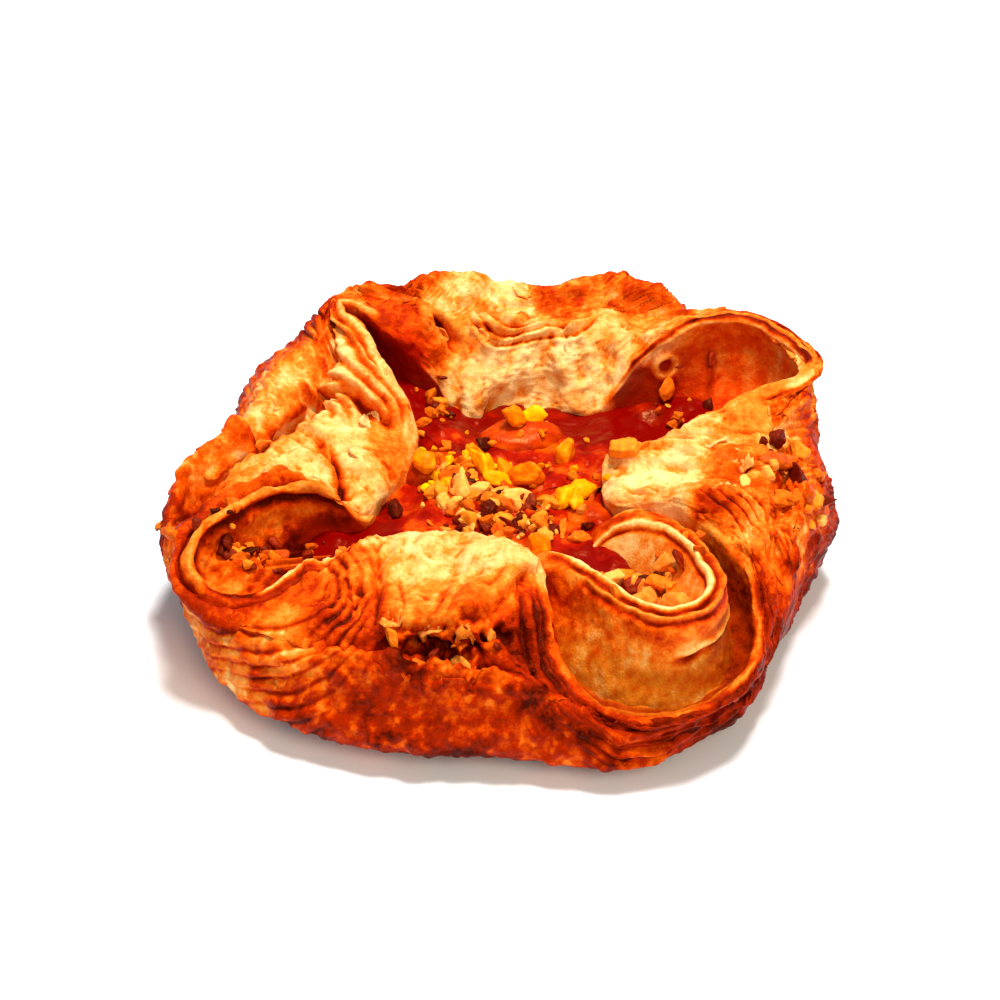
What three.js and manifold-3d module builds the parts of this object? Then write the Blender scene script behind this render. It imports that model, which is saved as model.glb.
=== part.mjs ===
import * as THREE from "three";
import { mergeVertices } from "three/addons/utils/BufferGeometryUtils.js";
import Module from "manifold-3d";

// Crown pastry: a square of laminated dough with its four corners folded in to the middle.
// The folds leave four pockets round a pool of apricot filling with chopped nuts and fruit pieces.
// Millimetres, +Z up. The origin is under the middle of the pastry, on the surface it rests on.

const wasm = await Module();
wasm.setup();

// Driving dimensions
const fillingLevel = 15.2;
const fillingDome = 1.7;
const touchGap = 0.35;
const nutSink = 0.3;
const columnsPerControl = 3;

// Pockets, counterclockwise from the one at the front right. Each runs from its mouth at the filling
// to its end at the outer wall. Widths and rim heights are given on both sides at these fractions.
const fractions = [0, 0.25, 0.5, 0.75, 0.93];
const pockets = [
  {
    mouth: [16.4, -18.5],
    end: [27.5, -45.8],
    clockwise: { widths: [12, 13, 14.2, 12.5, 7.5], heights: [22.5, 17.5, 14, 12, 11.5] },
    counter: { widths: [13.5, 15.5, 17, 14.5, 8.5], heights: [25, 24, 20, 15, 12.5] },
    endHeight: 11.7,
    floor: [9, 8.6],
    lip: 1.8,
    jam: { reach: 0.2, height: 15.2 },
  },
  {
    mouth: [17, 16],
    end: [50.2, 19.5],
    clockwise: { widths: [8.2, 9.6, 6.8, 3.6, 1.8], heights: [21, 24.2, 26.8, 28.2, 29] },
    counter: { widths: [9.6, 12.2, 14, 12.4, 6], heights: [17.5, 26.5, 30.8, 31.8, 31] },
    endHeight: 30,
    floor: [10, 20],
    lip: 2.6,
    jam: { reach: 0.62, height: 17 },
  },
  {
    mouth: [-11.5, 21],
    end: [-28, 38],
    clockwise: { widths: [6.2, 4.8, 2.4, 1.1, 0.8], heights: [15.5, 22, 28.4, 30.6, 31.2] },
    counter: { widths: [4.6, 4.4, 3, 1.5, 1], heights: [20, 26, 29, 30.4, 30.8] },
    endHeight: 31.3,
    floor: [11, 22],
    lip: 2.2,
    jam: { reach: 0.7, height: 22 },
  },
  {
    mouth: [-20, -9.5],
    end: [-47.5, -22.5],
    clockwise: { widths: [3.5, 6.8, 6.4, 4.6, 2.6], heights: [18, 23.5, 25.5, 25.6, 24] },
    counter: { widths: [3.6, 4.6, 5.8, 6.6, 4.2], heights: [19.8, 19.4, 18.6, 17.8, 18.6] },
    endHeight: 21,
    floor: [9, 14],
    lip: 3,
    jam: { reach: 0.45, height: 14.5 },
  },
];

// Lobes: the folded corners. Each follows the pocket of the same number, counterclockwise.
// The tip is pressed into the filling, and the crest is the outer edge: radius and height at three places.
const lobes = [
  { tip: [16.6, -1.5, 18.5], crest: [[44, 24.5], [43, 26], [43, 26.5]], crown: 1.6 },
  { tip: [3, 28.5, 15], crest: [[41, 27.8], [35.5, 28.6], [36.5, 29.4]], crown: 1 },
  { tip: [-17, 3.5, 17.5], crest: [[33.5, 25], [36.5, 22.8], [43.5, 22.6]], crown: 1.8 },
  { tip: [-7.5, -13.2, 20.5], crest: [[43.5, 17.5], [40.5, 19], [40.5, 18]], crown: 1.6 },
];

// The outer wall, counterclockwise from the right: azimuth in degrees, then radius and height of the
// widest place, of the shoulder above it, and of the crevice between the shoulder and the folds.
const wallStations = [
  { at: 0, widest: [53.5, 17], shoulder: [47.5, 25], crevice: [45, 23.8] },
  { at: 11, widest: [53, 19], shoulder: [49.5, 27], crevice: [46.5, 25] },
  { at: 22, widest: [55.6, 20], shoulder: [53.6, 28.5], crevice: [52.4, 28.8] },
  { at: 36, widest: [55.8, 20], shoulder: [53.3, 30.5], crevice: [51.8, 30.4] },
  { at: 50, widest: [55, 19], shoulder: [51, 30.5], crevice: [48, 28.2] },
  { at: 62, widest: [56.6, 21], shoulder: [51.5, 30], crevice: [45, 26.4] },
  { at: 76, widest: [54.5, 20], shoulder: [48.5, 30.6], crevice: [41.5, 26.9] },
  { at: 90, widest: [52.5, 19], shoulder: [44.5, 30], crevice: [38.5, 26.9] },
  { at: 104, widest: [53.4, 19], shoulder: [46, 32.2], crevice: [39, 28] },
  { at: 116, widest: [52, 20], shoulder: [47.5, 31.8], crevice: [43.5, 29.5] },
  { at: 127, widest: [52.2, 21], shoulder: [49.4, 31], crevice: [48, 30] },
  { at: 138, widest: [53.8, 20], shoulder: [48, 28.2], crevice: [37, 24.5] },
  { at: 150, widest: [52.4, 18], shoulder: [44.5, 26.8], crevice: [35, 20.5] },
  { at: 162, widest: [48.5, 17], shoulder: [44, 25.5], crevice: [38, 19.5] },
  { at: 172, widest: [49, 17], shoulder: [47, 25.2], crevice: [42, 19.5] },
  { at: 182, widest: [54, 16], shoulder: [51, 24.6], crevice: [46.8, 18] },
  { at: 192, widest: [55.5, 14], shoulder: [53.5, 21], crevice: [50.8, 15.5] },
  { at: 202, widest: [54.6, 11], shoulder: [53.6, 17], crevice: [51.8, 13.8] },
  { at: 212, widest: [53.8, 7], shoulder: [52.6, 13.5], crevice: [51, 12.8] },
  { at: 222, widest: [53.2, 5], shoulder: [50.8, 13.5], crevice: [48.4, 14.3] },
  { at: 232, widest: [52.2, 4.5], shoulder: [47.2, 16.2], crevice: [44.4, 14.5] },
  { at: 244, widest: [50.2, 4], shoulder: [44, 18], crevice: [41.3, 14.5] },
  { at: 258, widest: [48, 4], shoulder: [42.8, 18.2], crevice: [40.5, 14.5] },
  { at: 270, widest: [47.5, 4], shoulder: [43, 17.2], crevice: [41, 14.5] },
  { at: 280, widest: [49.3, 4], shoulder: [46, 14], crevice: [44.8, 13.8] },
  { at: 290, widest: [52.8, 4], shoulder: [51.4, 10.6], crevice: [50.6, 10.8] },
  { at: 302, widest: [54, 4.5], shoulder: [53.9, 9.2], crevice: [53.4, 10.3] },
  { at: 316, widest: [52.8, 5.5], shoulder: [53.1, 10.3], crevice: [52.8, 11.4] },
  { at: 328, widest: [51, 8], shoulder: [51, 15], crevice: [50.2, 16] },
  { at: 338, widest: [50.4, 12], shoulder: [47.8, 21.5], crevice: [45.5, 21.5] },
  { at: 349, widest: [51.8, 15], shoulder: [46.8, 24.3], crevice: [44.8, 23] },
];

// The curl: a smaller rolled pocket that stands inside the front right pocket
const curl = {
  mouth: [12, -17],
  end: [29.3, -34.3],
  clockwise: { widths: [6, 5.5, 6.2, 6.6, 5.6], heights: [22.3, 23.2, 24, 24.8, 25.2] },
  counter: { widths: [7.5, 8.5, 8, 6.4, 4.2], heights: [19.5, 22.5, 24.5, 25.4, 25.5] },
  endHeight: 25.5,
  sill: 13.5,
  lips: [2, 2, 2.2, 2.6, 3.2, 3.8, 4.3, 4.6, 4.6, 4.2, 3.6, 2],
  reaches: [7, 11, 12, 10.5, 8, 6.5, 6.2, 6, 6, 5.8, 5, 3],
  floor: [14, 19.5],
};

// Creases where folds lie against each other: a route, and the width and depth of the furrow
const creases = [
  { route: [[-18, 40.5, 30], [-13, 35.5, 29], [-7.5, 30.5, 27]], width: 1.6, depth: 1.4 },
  { route: [[-33, 36, 27.5], [-25.5, 24.5, 27], [-18, 18.5, 24]], width: 1.5, depth: 0.9 },
  { route: [[-27.5, 7, 23.5], [-26, 0, 22.5], [-24.5, -4.5, 20]], width: 1.5, depth: 1 },
  { route: [[18.5, 41.5, 30.5], [14.5, 37, 29.5], [9.5, 33, 28]], width: 1.8, depth: 1.4 },
  { route: [[-22, -26.5, 19], [-25.5, -33, 14.5], [-28, -38, 11]], width: 2, depth: 1.4 },
  { route: [[3.5, -28, 21], [3.5, -34, 17], [7, -40, 13], [14, -47, 9]], width: 2, depth: 1.3 },
];

// Apricot pieces: middle in plan, height above the filling, and half sizes
const fruits = [
  { at: [2.5, 17.5], rise: 0.6, half: [7.2, 4.6, 3.4], turn: 10 },
  { at: [13.4, -3.4], rise: -0.4, half: [4.4, 5, 3], turn: 70 },
  { at: [-11.5, 9.5], rise: 0.2, half: [5.2, 4, 3], turn: 35 },
  { at: [24.5, 24.5], rise: -0.5, half: [5.4, 4.4, 3.2], turn: 25 },
];

// Chopped nuts: place in plan and half size. Those on the filling lie in it, the others on the dough.
const fillingNuts = [
  [-3.8, 6.6, 2.6], [3.9, 4.8, 2.9], [-1, 1.4, 2.2], [9.7, 9, 2.6], [0.6, 9.4, 2], [9.4, 1.6, 2.3],
  [-7, -0.4, 2.5], [-4, -4.2, 2.2], [1.8, -3, 2.4], [-10.6, 3.4, 2.1], [-6, -8, 2.1], [-0.6, -8.2, 2.2],
  [5.4, -6.6, 2.2], [-4.6, 11.8, 2.1], [-13, -1.2, 2],
];
const doughNuts = [
  [20.2, 4, 2.6], [18, -20.6, 2.3], [22, -24.4, 2.4], [26, -28, 2.3],
  [43.5, 3, 2.5], [42.4, -3.8, 2.7], [42.8, -9.6, 2.4], [46.4, -0.8, 2.3], [47.4, -6.2, 2.4],
  [-6.6, -40.4, 2.3], [-1.6, -40.2, 2], [-13, -39.2, 2.2], [-17.8, -36.8, 2], [-37.4, -17, 2.1],
];

// Small vector and curve helpers. A curve is a list of [x, y, z] points.
const add = (a, b, s = 1) => a.map((v, i) => v + b[i] * s);
const mix = (a, b, t) => a.map((v, i) => v + (b[i] - v) * t);
const length = (a) => Math.hypot(...a);
const polar = (degrees, radius, z) => {
  const angle = THREE.MathUtils.degToRad(degrees);
  return [radius * Math.cos(angle), radius * Math.sin(angle), z];
};
const azimuth = (p) => (THREE.MathUtils.radToDeg(Math.atan2(p[1], p[0])) + 360) % 360;

// The direction in which a smooth curve passes its point b, between a and c
function slope(a, b, c) {
  const before = length(add(b, a, -1)) + 1e-6;
  const after = length(add(c, b, -1)) + 1e-6;
  const arriving = add(b, a, -1).map((v) => (v / before) * after);
  const leaving = add(c, b, -1).map((v) => (v / after) * before);
  return add(arriving, leaving).map((v) => v / (before + after));
}

function hermite(p, q, slopeP, slopeQ, t) {
  const chord = length(add(q, p, -1));
  const t2 = t * t;
  const t3 = t2 * t;
  return p.map((v, i) => (2 * t3 - 3 * t2 + 1) * v + (3 * t2 - 2 * t3) * q[i]
    + chord * ((t3 - 2 * t2 + t) * slopeP[i] + (t3 - t2) * slopeQ[i]));
}

function closedCurve(controls, steps) {
  const n = controls.length;
  const slopes = controls.map((p, i) => slope(controls[(i + n - 1) % n], p, controls[(i + 1) % n]));
  const points = [];
  for (let i = 0; i < n; i++) {
    const j = (i + 1) % n;
    for (let s = 0; s < steps; s++) {
      points.push(hermite(controls[i], controls[j], slopes[i], slopes[j], s / steps));
    }
  }
  return points;
}

// Value at a fraction of the way along evenly spaced knots
function alongKnots(knots, fraction) {
  const x = fraction * (knots.length - 1);
  const i = Math.min(Math.floor(x), knots.length - 2);
  const first = knots[i - 1] ?? add(knots[i], add(knots[i + 1], knots[i], -1), -1);
  const last = knots[i + 2] ?? add(knots[i + 1], add(knots[i + 1], knots[i], -1));
  const m = add(knots[i + 1], first, -1).map((v) => v / 2);
  const n = add(last, knots[i], -1).map((v) => v / 2);
  const t = x - i;
  return knots[i].map((v, k) => (2 * t ** 3 - 3 * t * t + 1) * v + (t ** 3 - 2 * t * t + t) * m[k]
    + (3 * t * t - 2 * t ** 3) * knots[i + 1][k] + (t ** 3 - t * t) * n[k]);
}

// Widest place, shoulder and crevice of the outer wall at an azimuth, blended between its stations
function wallAt(degrees) {
  const n = wallStations.length;
  let i = wallStations.findIndex((s) => s.at > degrees);
  i = (i < 0 ? n : i) - 1;
  const row = (k) => {
    const s = wallStations[(k + n) % n];
    return [...s.widest, ...s.shoulder, ...s.crevice];
  };
  const at = (k) => wallStations[(k + n) % n].at + 360 * Math.floor(k / n);
  const rate = (k) => add(row(k + 1), row(k - 1), -1).map((v) => v / (at(k + 1) - at(k - 1)));
  const span = at(i + 1) - at(i);
  const t = (degrees - at(i)) / span;
  const t2 = t * t;
  const t3 = t2 * t;
  const p = row(i);
  const q = row(i + 1);
  const m = rate(i);
  const r = rate(i + 1);
  return p.map((v, k) => (2 * t3 - 3 * t2 + 1) * v + (3 * t2 - 2 * t3) * q[k]
    + span * ((t3 - 2 * t2 + t) * m[k] + (t3 - t2) * r[k]));
}

// A pocket's own directions in plan: along it, and across it to the counterclockwise side
function pocketFrame(pocket) {
  const axis = add(pocket.end, pocket.mouth, -1);
  const reach = length(axis);
  const along = axis.map((v) => v / reach);
  const across = [-along[1], along[0]];
  const place = (t, s) => add(add(pocket.mouth, along, reach * t), across, s);
  return { reach, along, across, place };
}

// The hairpin of a pocket's rim: up the clockwise side, round the end and back
function pocketRim(pocket) {
  const { place } = pocketFrame(pocket);
  const side = (edge, sign) => fractions.map((t, k) => [...place(t, sign * edge.widths[k]), edge.heights[k]]);
  return [
    ...side(pocket.clockwise, -1),
    [...pocket.end, pocket.endHeight],
    ...side(pocket.counter, 1).reverse(),
  ];
}

function outwardNormals(points) {
  const n = points.length;
  return points.map((p, i) => {
    const d = add(points[(i + 1) % n], points[(i + n - 1) % n], -1);
    const size = Math.hypot(d[0], d[1]);
    return [d[1] / size, -d[0] / size, 0];
  });
}

// Controls run round the crown: eleven for each pocket, then one for the tip of the lobe after it
const perPocket = 12;
const starRim = pockets.flatMap((pocket, i) => [...pocketRim(pocket), lobes[i].tip]);

// The outer edge of the folded top: lips round the pocket ends and crests across the lobes
function crestCurve() {
  const normals = outwardNormals(starRim);
  const crest = starRim.map((p) => [...p]);
  pockets.forEach((pocket, i) => {
    for (let j = 3; j <= 7; j++) {
      const k = i * perPocket + j;
      crest[k] = add(add(starRim[k], normals[k], pocket.lip), [0, 0, -0.4]);
    }
  });
  lobes.forEach((lobe, i) => {
    const from = crest[i * perPocket + 7];
    const to = crest[((i + 1) * perPocket + 3) % crest.length];
    const start = azimuth(from);
    const turn = (azimuth(to) - start + 360) % 360;
    const knots = [[length(from.slice(0, 2)), from[2]], ...lobe.crest, [length(to.slice(0, 2)), to[2]]];
    for (let s = 1; s < 8; s++) {
      const [radius, z] = alongKnots(knots, s / 8);
      crest[(i * perPocket + 7 + s) % crest.length] = polar(start + (turn * s) / 8, radius, z);
    }
  });
  return crest;
}

// Inner walls of the pockets: how far across, along and up each row lies, from the rim down to the floor
const wallRows = [
  { across: 0.93, along: 0.98, up: 0.55, tipIn: 0.97, tipHeight: 14 },
  { across: 0.66, along: 0.92, up: 0.08, tipIn: 0.85, tipHeight: 9 },
];

function innerWallCurve(row) {
  return starRim.map((p, k) => {
    const i = Math.floor(k / perPocket);
    if (k % perPocket === perPocket - 1) {
      return [p[0] * row.tipIn, p[1] * row.tipIn, Math.min(row.tipHeight, p[2] - 1)];
    }
    const pocket = pockets[i];
    const { reach, along, across, place } = pocketFrame(pocket);
    const offset = add(p.slice(0, 2), pocket.mouth, -1);
    const t = (offset[0] * along[0] + offset[1] * along[1]) / reach;
    const s = offset[0] * across[0] + offset[1] * across[1];
    const floor = pocket.floor[0] + (pocket.floor[1] - pocket.floor[0]) * THREE.MathUtils.clamp(t, 0, 1);
    return [...place(t * row.along, s * row.across), floor + (p[2] - floor) * row.up];
  });
}

// Lofts: rows through key curves, closed to one body with a centre point at each end
function loftRows(curves, counts) {
  const rows = [];
  counts.forEach((count, i) => {
    for (let s = 0; s < count; s++) {
      rows.push(curves[i].map((p, k) => {
        const q = curves[i + 1][k];
        const before = i > 0 ? curves[i - 1][k] : add(p, add(q, p, -1), -1);
        const after = i + 2 < curves.length ? curves[i + 2][k] : add(q, add(q, p, -1));
        return hermite(p, q, slope(before, p, q), slope(p, q, after), s / count);
      }));
    }
  });
  rows.push(curves.at(-1));
  return rows;
}

function closedLoft(rows, bottom, top) {
  const n = rows[0].length;
  const positions = [...rows.flat(), bottom, top];
  const faces = [];
  for (let r = 0; r + 1 < rows.length; r++) {
    for (let k = 0; k < n; k++) {
      const a = r * n + k;
      const b = r * n + ((k + 1) % n);
      faces.push([a, b, b + n], [a, b + n, a + n]);
    }
  }
  const lastRow = (rows.length - 1) * n;
  for (let k = 0; k < n; k++) {
    const next = (k + 1) % n;
    faces.push([positions.length - 2, next, k], [positions.length - 1, lastRow + k, lastRow + next]);
  }
  return { positions, faces };
}

// Unit normals at the vertices of a mesh
function vertexNormals({ positions, faces }) {
  const normals = positions.map(() => new THREE.Vector3());
  const [a, b, c] = [new THREE.Vector3(), new THREE.Vector3(), new THREE.Vector3()];
  for (const face of faces) {
    a.fromArray(positions[face[0]]);
    b.fromArray(positions[face[1]]).sub(a);
    c.fromArray(positions[face[2]]).sub(a);
    b.cross(c);
    face.forEach((k) => normals[k].add(b));
  }
  return normals.map((v) => v.normalize().toArray());
}

function distanceToRoute(p, route) {
  let nearest = Infinity;
  for (let i = 0; i + 1 < route.length; i++) {
    const d = add(route[i + 1], route[i], -1);
    const w = add(p, route[i], -1);
    const t = THREE.MathUtils.clamp((w[0] * d[0] + w[1] * d[1] + w[2] * d[2]) / length(d) ** 2, 0, 1);
    nearest = Math.min(nearest, length(add(w, d, -t)));
  }
  return nearest;
}

function pressCreases(mesh) {
  const normals = vertexNormals(mesh);
  const positions = mesh.positions.map((p, i) => {
    const depth = creases.reduce((sum, crease) => {
      const near = distanceToRoute(p, crease.route) / crease.width;
      return sum + crease.depth * Math.exp(-near * near);
    }, 0);
    return p[2] > 1 ? add(p, normals[i], -depth) : p;
  });
  return { positions, faces: mesh.faces };
}

function shellMesh() {
  const crest = crestCurve();
  const walls = crest.map((p) => ({ at: azimuth(p), wall: wallAt(azimuth(p)) }));
  const ring = (radius, height) => walls.map(({ at, wall }) => polar(at, radius(wall), height(wall)));
  const midLobe = crest.map((p, k) => {
    const step = (k + crest.length - 7) % perPocket;
    const lobe = lobes[Math.floor(((k + crest.length - 7) % crest.length) / perPocket)];
    const bulge = step > 0 && step < 8 ? lobe.crown * Math.sin((Math.PI * step) / 8) : 0;
    return add(mix(p, starRim[k], 0.5), [0, 0, bulge]);
  });
  const keys = [
    { curve: ring((w) => w[0] * 0.84, () => 0), rows: 1 },
    { curve: ring((w) => w[0] * 0.945, () => 2.2), rows: 2 },
    { curve: ring((w) => w[0], (w) => w[1]), rows: 3 },
    { curve: ring((w) => (w[0] + w[2] + 0.9) / 2, (w) => w[1] * 0.42 + w[3] * 0.58), rows: 2 },
    { curve: ring((w) => w[2], (w) => w[3]), rows: 2 },
    { curve: ring((w) => w[4], (w) => w[5]), rows: 2 },
    { curve: crest, rows: 3 },
    { curve: midLobe, rows: 3 },
    { curve: starRim, rows: 2 },
    ...wallRows.map((row, i) => ({ curve: innerWallCurve(row), rows: i === 0 ? 2 : 1 })),
  ];
  const curves = keys.map((key) => closedCurve(key.curve, columnsPerControl));
  const rows = loftRows(curves, keys.slice(0, -1).map((key) => key.rows));
  return pressCreases(closedLoft(rows, [0, 0, 0], [0, 0, 8]));
}

function curlMesh() {
  const { reach, along, across, place } = pocketFrame(curl);
  const rim = [...pocketRim(curl), [...place(-0.12, 0), curl.sill]];
  const normals = outwardNormals(rim);
  const ring = (out, height) => rim.map((p, k) => {
    const q = add(p, normals[k], out(k));
    return [q[0], q[1], height(p)];
  });
  const inside = (alongShare, acrossShare, height) => rim.map((p) => {
    const offset = add(p.slice(0, 2), curl.mouth, -1);
    const t = (offset[0] * along[0] + offset[1] * along[1]) / reach;
    const s = offset[0] * across[0] + offset[1] * across[1];
    return [...place(t * alongShare, s * acrossShare), height(p, THREE.MathUtils.clamp(t, 0, 1))];
  });
  const keys = [
    { curve: ring((k) => curl.reaches[k] * 0.7, () => 6), rows: 1 },
    { curve: ring((k) => curl.reaches[k], () => 10), rows: 2 },
    { curve: ring((k) => curl.lips[k] * 0.45 + curl.reaches[k] * 0.6, (p) => p[2] - 6.5), rows: 2 },
    { curve: ring((k) => curl.lips[k], (p) => p[2] - 0.7), rows: 1 },
    { curve: rim, rows: 1 },
    { curve: inside(0.95, 0.8, (p) => p[2] - 2.5), rows: 1 },
    { curve: inside(0.85, 0.5, (p, t) => curl.floor[0] + (curl.floor[1] - curl.floor[0]) * t), rows: 1 },
  ];
  const curves = keys.map((key) => closedCurve(key.curve, columnsPerControl));
  const rows = loftRows(curves, keys.slice(0, -1).map((key) => key.rows));
  return closedLoft(rows, [...place(0.5, 0), 6], [...place(0.45, 0), 16]);
}

// Solids: closed meshes handed to the boolean library and back
function toSolid({ positions, faces }) {
  return new wasm.Manifold(new wasm.Mesh({
    numProp: 3,
    vertProperties: new Float32Array(positions.flat()),
    triVerts: new Uint32Array(faces.flat()),
  }));
}

function fromSolid(solid) {
  const mesh = solid.getMesh();
  const positions = [];
  for (let i = 0; i < mesh.numVert; i++) {
    positions.push([...mesh.vertProperties.slice(i * mesh.numProp, i * mesh.numProp + 3)]);
  }
  const faces = [];
  for (let i = 0; i < mesh.numTri; i++) {
    faces.push([...mesh.triVerts.slice(i * 3, i * 3 + 3)]);
  }
  return { positions, faces };
}

// The same solid with its surface moved out by the gap that neighbours keep
function grown(mesh, distance) {
  const normals = vertexNormals(mesh);
  return toSolid({ positions: mesh.positions.map((p, i) => add(p, normals[i], distance)), faces: mesh.faces });
}

function largestPiece(solid) {
  return solid.decompose().sort((a, b) => b.volume() - a.volume())[0];
}

// Height of the highest surface over a place in plan
function heightOver(mesh, x, y) {
  let highest = -Infinity;
  for (const face of mesh.faces) {
    const [a, b, c] = face.map((k) => mesh.positions[k]);
    const area = (b[0] - a[0]) * (c[1] - a[1]) - (c[0] - a[0]) * (b[1] - a[1]);
    const u = ((b[0] - x) * (c[1] - y) - (c[0] - x) * (b[1] - y)) / area;
    const v = ((c[0] - x) * (a[1] - y) - (a[0] - x) * (c[1] - y)) / area;
    if (u >= 0 && v >= 0 && u + v <= 1) {
      highest = Math.max(highest, u * a[2] + v * b[2] + (1 - u - v) * c[2]);
    }
  }
  return highest;
}

// Seeded random numbers, so that every run gives the same nuts
let seed = 20;
function random() {
  seed = (seed * 16807) % 2147483647;
  return seed / 2147483647;
}

// An uneven lump of 32 triangles: a chopped nut
function nutMesh(x, y, z, half) {
  const shape = new THREE.OctahedronGeometry(1, 1);
  shape.deleteAttribute("normal");
  shape.deleteAttribute("uv");
  const geometry = mergeVertices(shape, 1e-3);
  const turn = new THREE.Euler(random() * 6.28, random() * 6.28, random() * 6.28);
  const size = new THREE.Vector3(half * (0.95 + 0.35 * random()), half * (0.75 + 0.25 * random()), half * 0.75);
  const point = new THREE.Vector3();
  const positions = [];
  for (let i = 0; i < geometry.attributes.position.count; i++) {
    point.fromBufferAttribute(geometry.attributes.position, i).multiplyScalar(0.82 + 0.3 * random());
    point.multiply(size).applyEuler(turn);
    positions.push([x + point.x, y + point.y, z + point.z]);
  }
  const index = [...geometry.index.array];
  const faces = [];
  for (let i = 0; i < index.length; i += 3) {
    faces.push(index.slice(i, i + 3));
  }
  return { positions, faces };
}

function addNuts(solid, nuts) {
  const ground = fromSolid(solid);
  return nuts.reduce((whole, [x, y, half]) => {
    const z = heightOver(ground, x, y) + half * nutSink;
    return whole.add(toSolid(nutMesh(x, y, z, half)));
  }, solid);
}

// The pool of filling before it is fitted: it follows the star of the pockets and bulges in the middle
function fillingMesh() {
  const outline = pockets.flatMap((pocket, i) => {
    const { place } = pocketFrame(pocket);
    const { reach, height } = pocket.jam;
    const side = (edge, sign) => fractions.map((t, k) => (
      [...place(t * reach, sign * (edge.widths[k] + 1.5)), fillingLevel + (height - fillingLevel) * t]));
    const tip = lobes[i].tip;
    return [
      ...side(pocket.clockwise, -1),
      [...place(reach + 0.04, 0), height],
      ...side(pocket.counter, 1).reverse(),
      [tip[0] * 1.1, tip[1] * 1.1, fillingLevel - 0.4],
    ];
  });
  const ring = (share, rise, wave) => outline.map((p, k) => (
    [p[0] * share, p[1] * share, mix([fillingLevel], [p[2]], share)[0] + rise + wave * Math.sin(k * 1.3)]));
  const bottom = 5;
  const keys = [
    { curve: outline.map((p) => [p[0] * 0.5, p[1] * 0.5, bottom]), rows: 1 },
    { curve: outline.map((p) => [p[0], p[1], bottom]), rows: 1 },
    { curve: outline, rows: 2 },
    { curve: ring(0.8, fillingDome * 0.4, 0.3), rows: 2 },
    { curve: ring(0.5, fillingDome * 0.85, 0.35), rows: 2 },
    { curve: ring(0.2, fillingDome, 0.2), rows: 1 },
  ];
  const curves = keys.map((key) => closedCurve(key.curve, 1));
  const rows = loftRows(curves, keys.slice(0, -1).map((key) => key.rows));
  return closedLoft(rows, [0, 0, bottom], [0, 0, fillingLevel + fillingDome]);
}

// A softened wedge of apricot, partly sunk in the filling
function fruitMesh({ at, rise, half, turn }) {
  const shape = new THREE.IcosahedronGeometry(1, 2);
  shape.deleteAttribute("normal");
  shape.deleteAttribute("uv");
  const geometry = mergeVertices(shape, 1e-3);
  const angle = THREE.MathUtils.degToRad(turn);
  const point = new THREE.Vector3();
  const axis = new THREE.Vector3(0, 0, 1);
  const positions = [];
  for (let i = 0; i < geometry.attributes.position.count; i++) {
    point.fromBufferAttribute(geometry.attributes.position, i);
    const lump = 1 + 0.07 * Math.sin(4 * point.x + 2) * Math.cos(3 * point.y + turn);
    point.set(point.x * half[0] * lump, point.y * half[1] * lump, point.z * half[2]);
    point.applyAxisAngle(axis, angle);
    positions.push([at[0] + point.x, at[1] + point.y, fillingLevel + rise + point.z]);
  }
  const index = [...geometry.index.array];
  const faces = [];
  for (let i = 0; i < index.length; i += 3) {
    faces.push(index.slice(i, i + 3));
  }
  return { positions, faces };
}

// The pieces
const pastry = addNuts(toSolid(shellMesh()).add(toSolid(curlMesh())), doughNuts);
const pastryMesh = fromSolid(pastry);
const pastryGrown = grown(pastryMesh, touchGap);
const fruitSolids = fruits.map((fruit) => largestPiece(toSolid(fruitMesh(fruit)).subtract(pastryGrown)));
const fruitsGrown = fruitSolids.map((solid) => grown(fromSolid(solid), touchGap));
const filling = largestPiece(fruitsGrown.reduce(
  (left, fruit) => left.subtract(fruit),
  addNuts(toSolid(fillingMesh()), fillingNuts).subtract(pastryGrown),
));

// The outline is centred on the origin before the pieces become meshes
const bounds = new THREE.Box3().setFromArray(pastryMesh.positions.flat());
const middle = bounds.getCenter(new THREE.Vector3());

function toGeometry(solid) {
  const { positions, faces } = fromSolid(solid);
  const geometry = new THREE.BufferGeometry();
  geometry.setAttribute("position", new THREE.Float32BufferAttribute(positions.flat(), 3));
  geometry.setIndex(faces.flat());
  geometry.computeVertexNormals();
  return geometry;
}

const crust = new THREE.MeshStandardMaterial({ color: 0xd08a3c, roughness: 0.62, metalness: 0 });
const jam = new THREE.MeshStandardMaterial({ color: 0xb83208, roughness: 0.2, metalness: 0 });
const apricot = new THREE.MeshStandardMaterial({ color: 0xe07a18, roughness: 0.25, metalness: 0 });

const crown = new THREE.Group();
crown.position.set(-middle.x, -middle.y, 0);

function addPiece(name, solid, material) {
  const mesh = new THREE.Mesh(toGeometry(solid), material);
  mesh.name = name;
  crown.add(mesh);
}

addPiece("pastry", pastry, crust);
addPiece("apricot_filling", filling, jam);
fruitSolids.forEach((solid, i) => addPiece(`apricot_piece_${i + 1}`, solid, apricot));

const part = new THREE.Group();
part.add(crown);
export default part;
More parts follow.
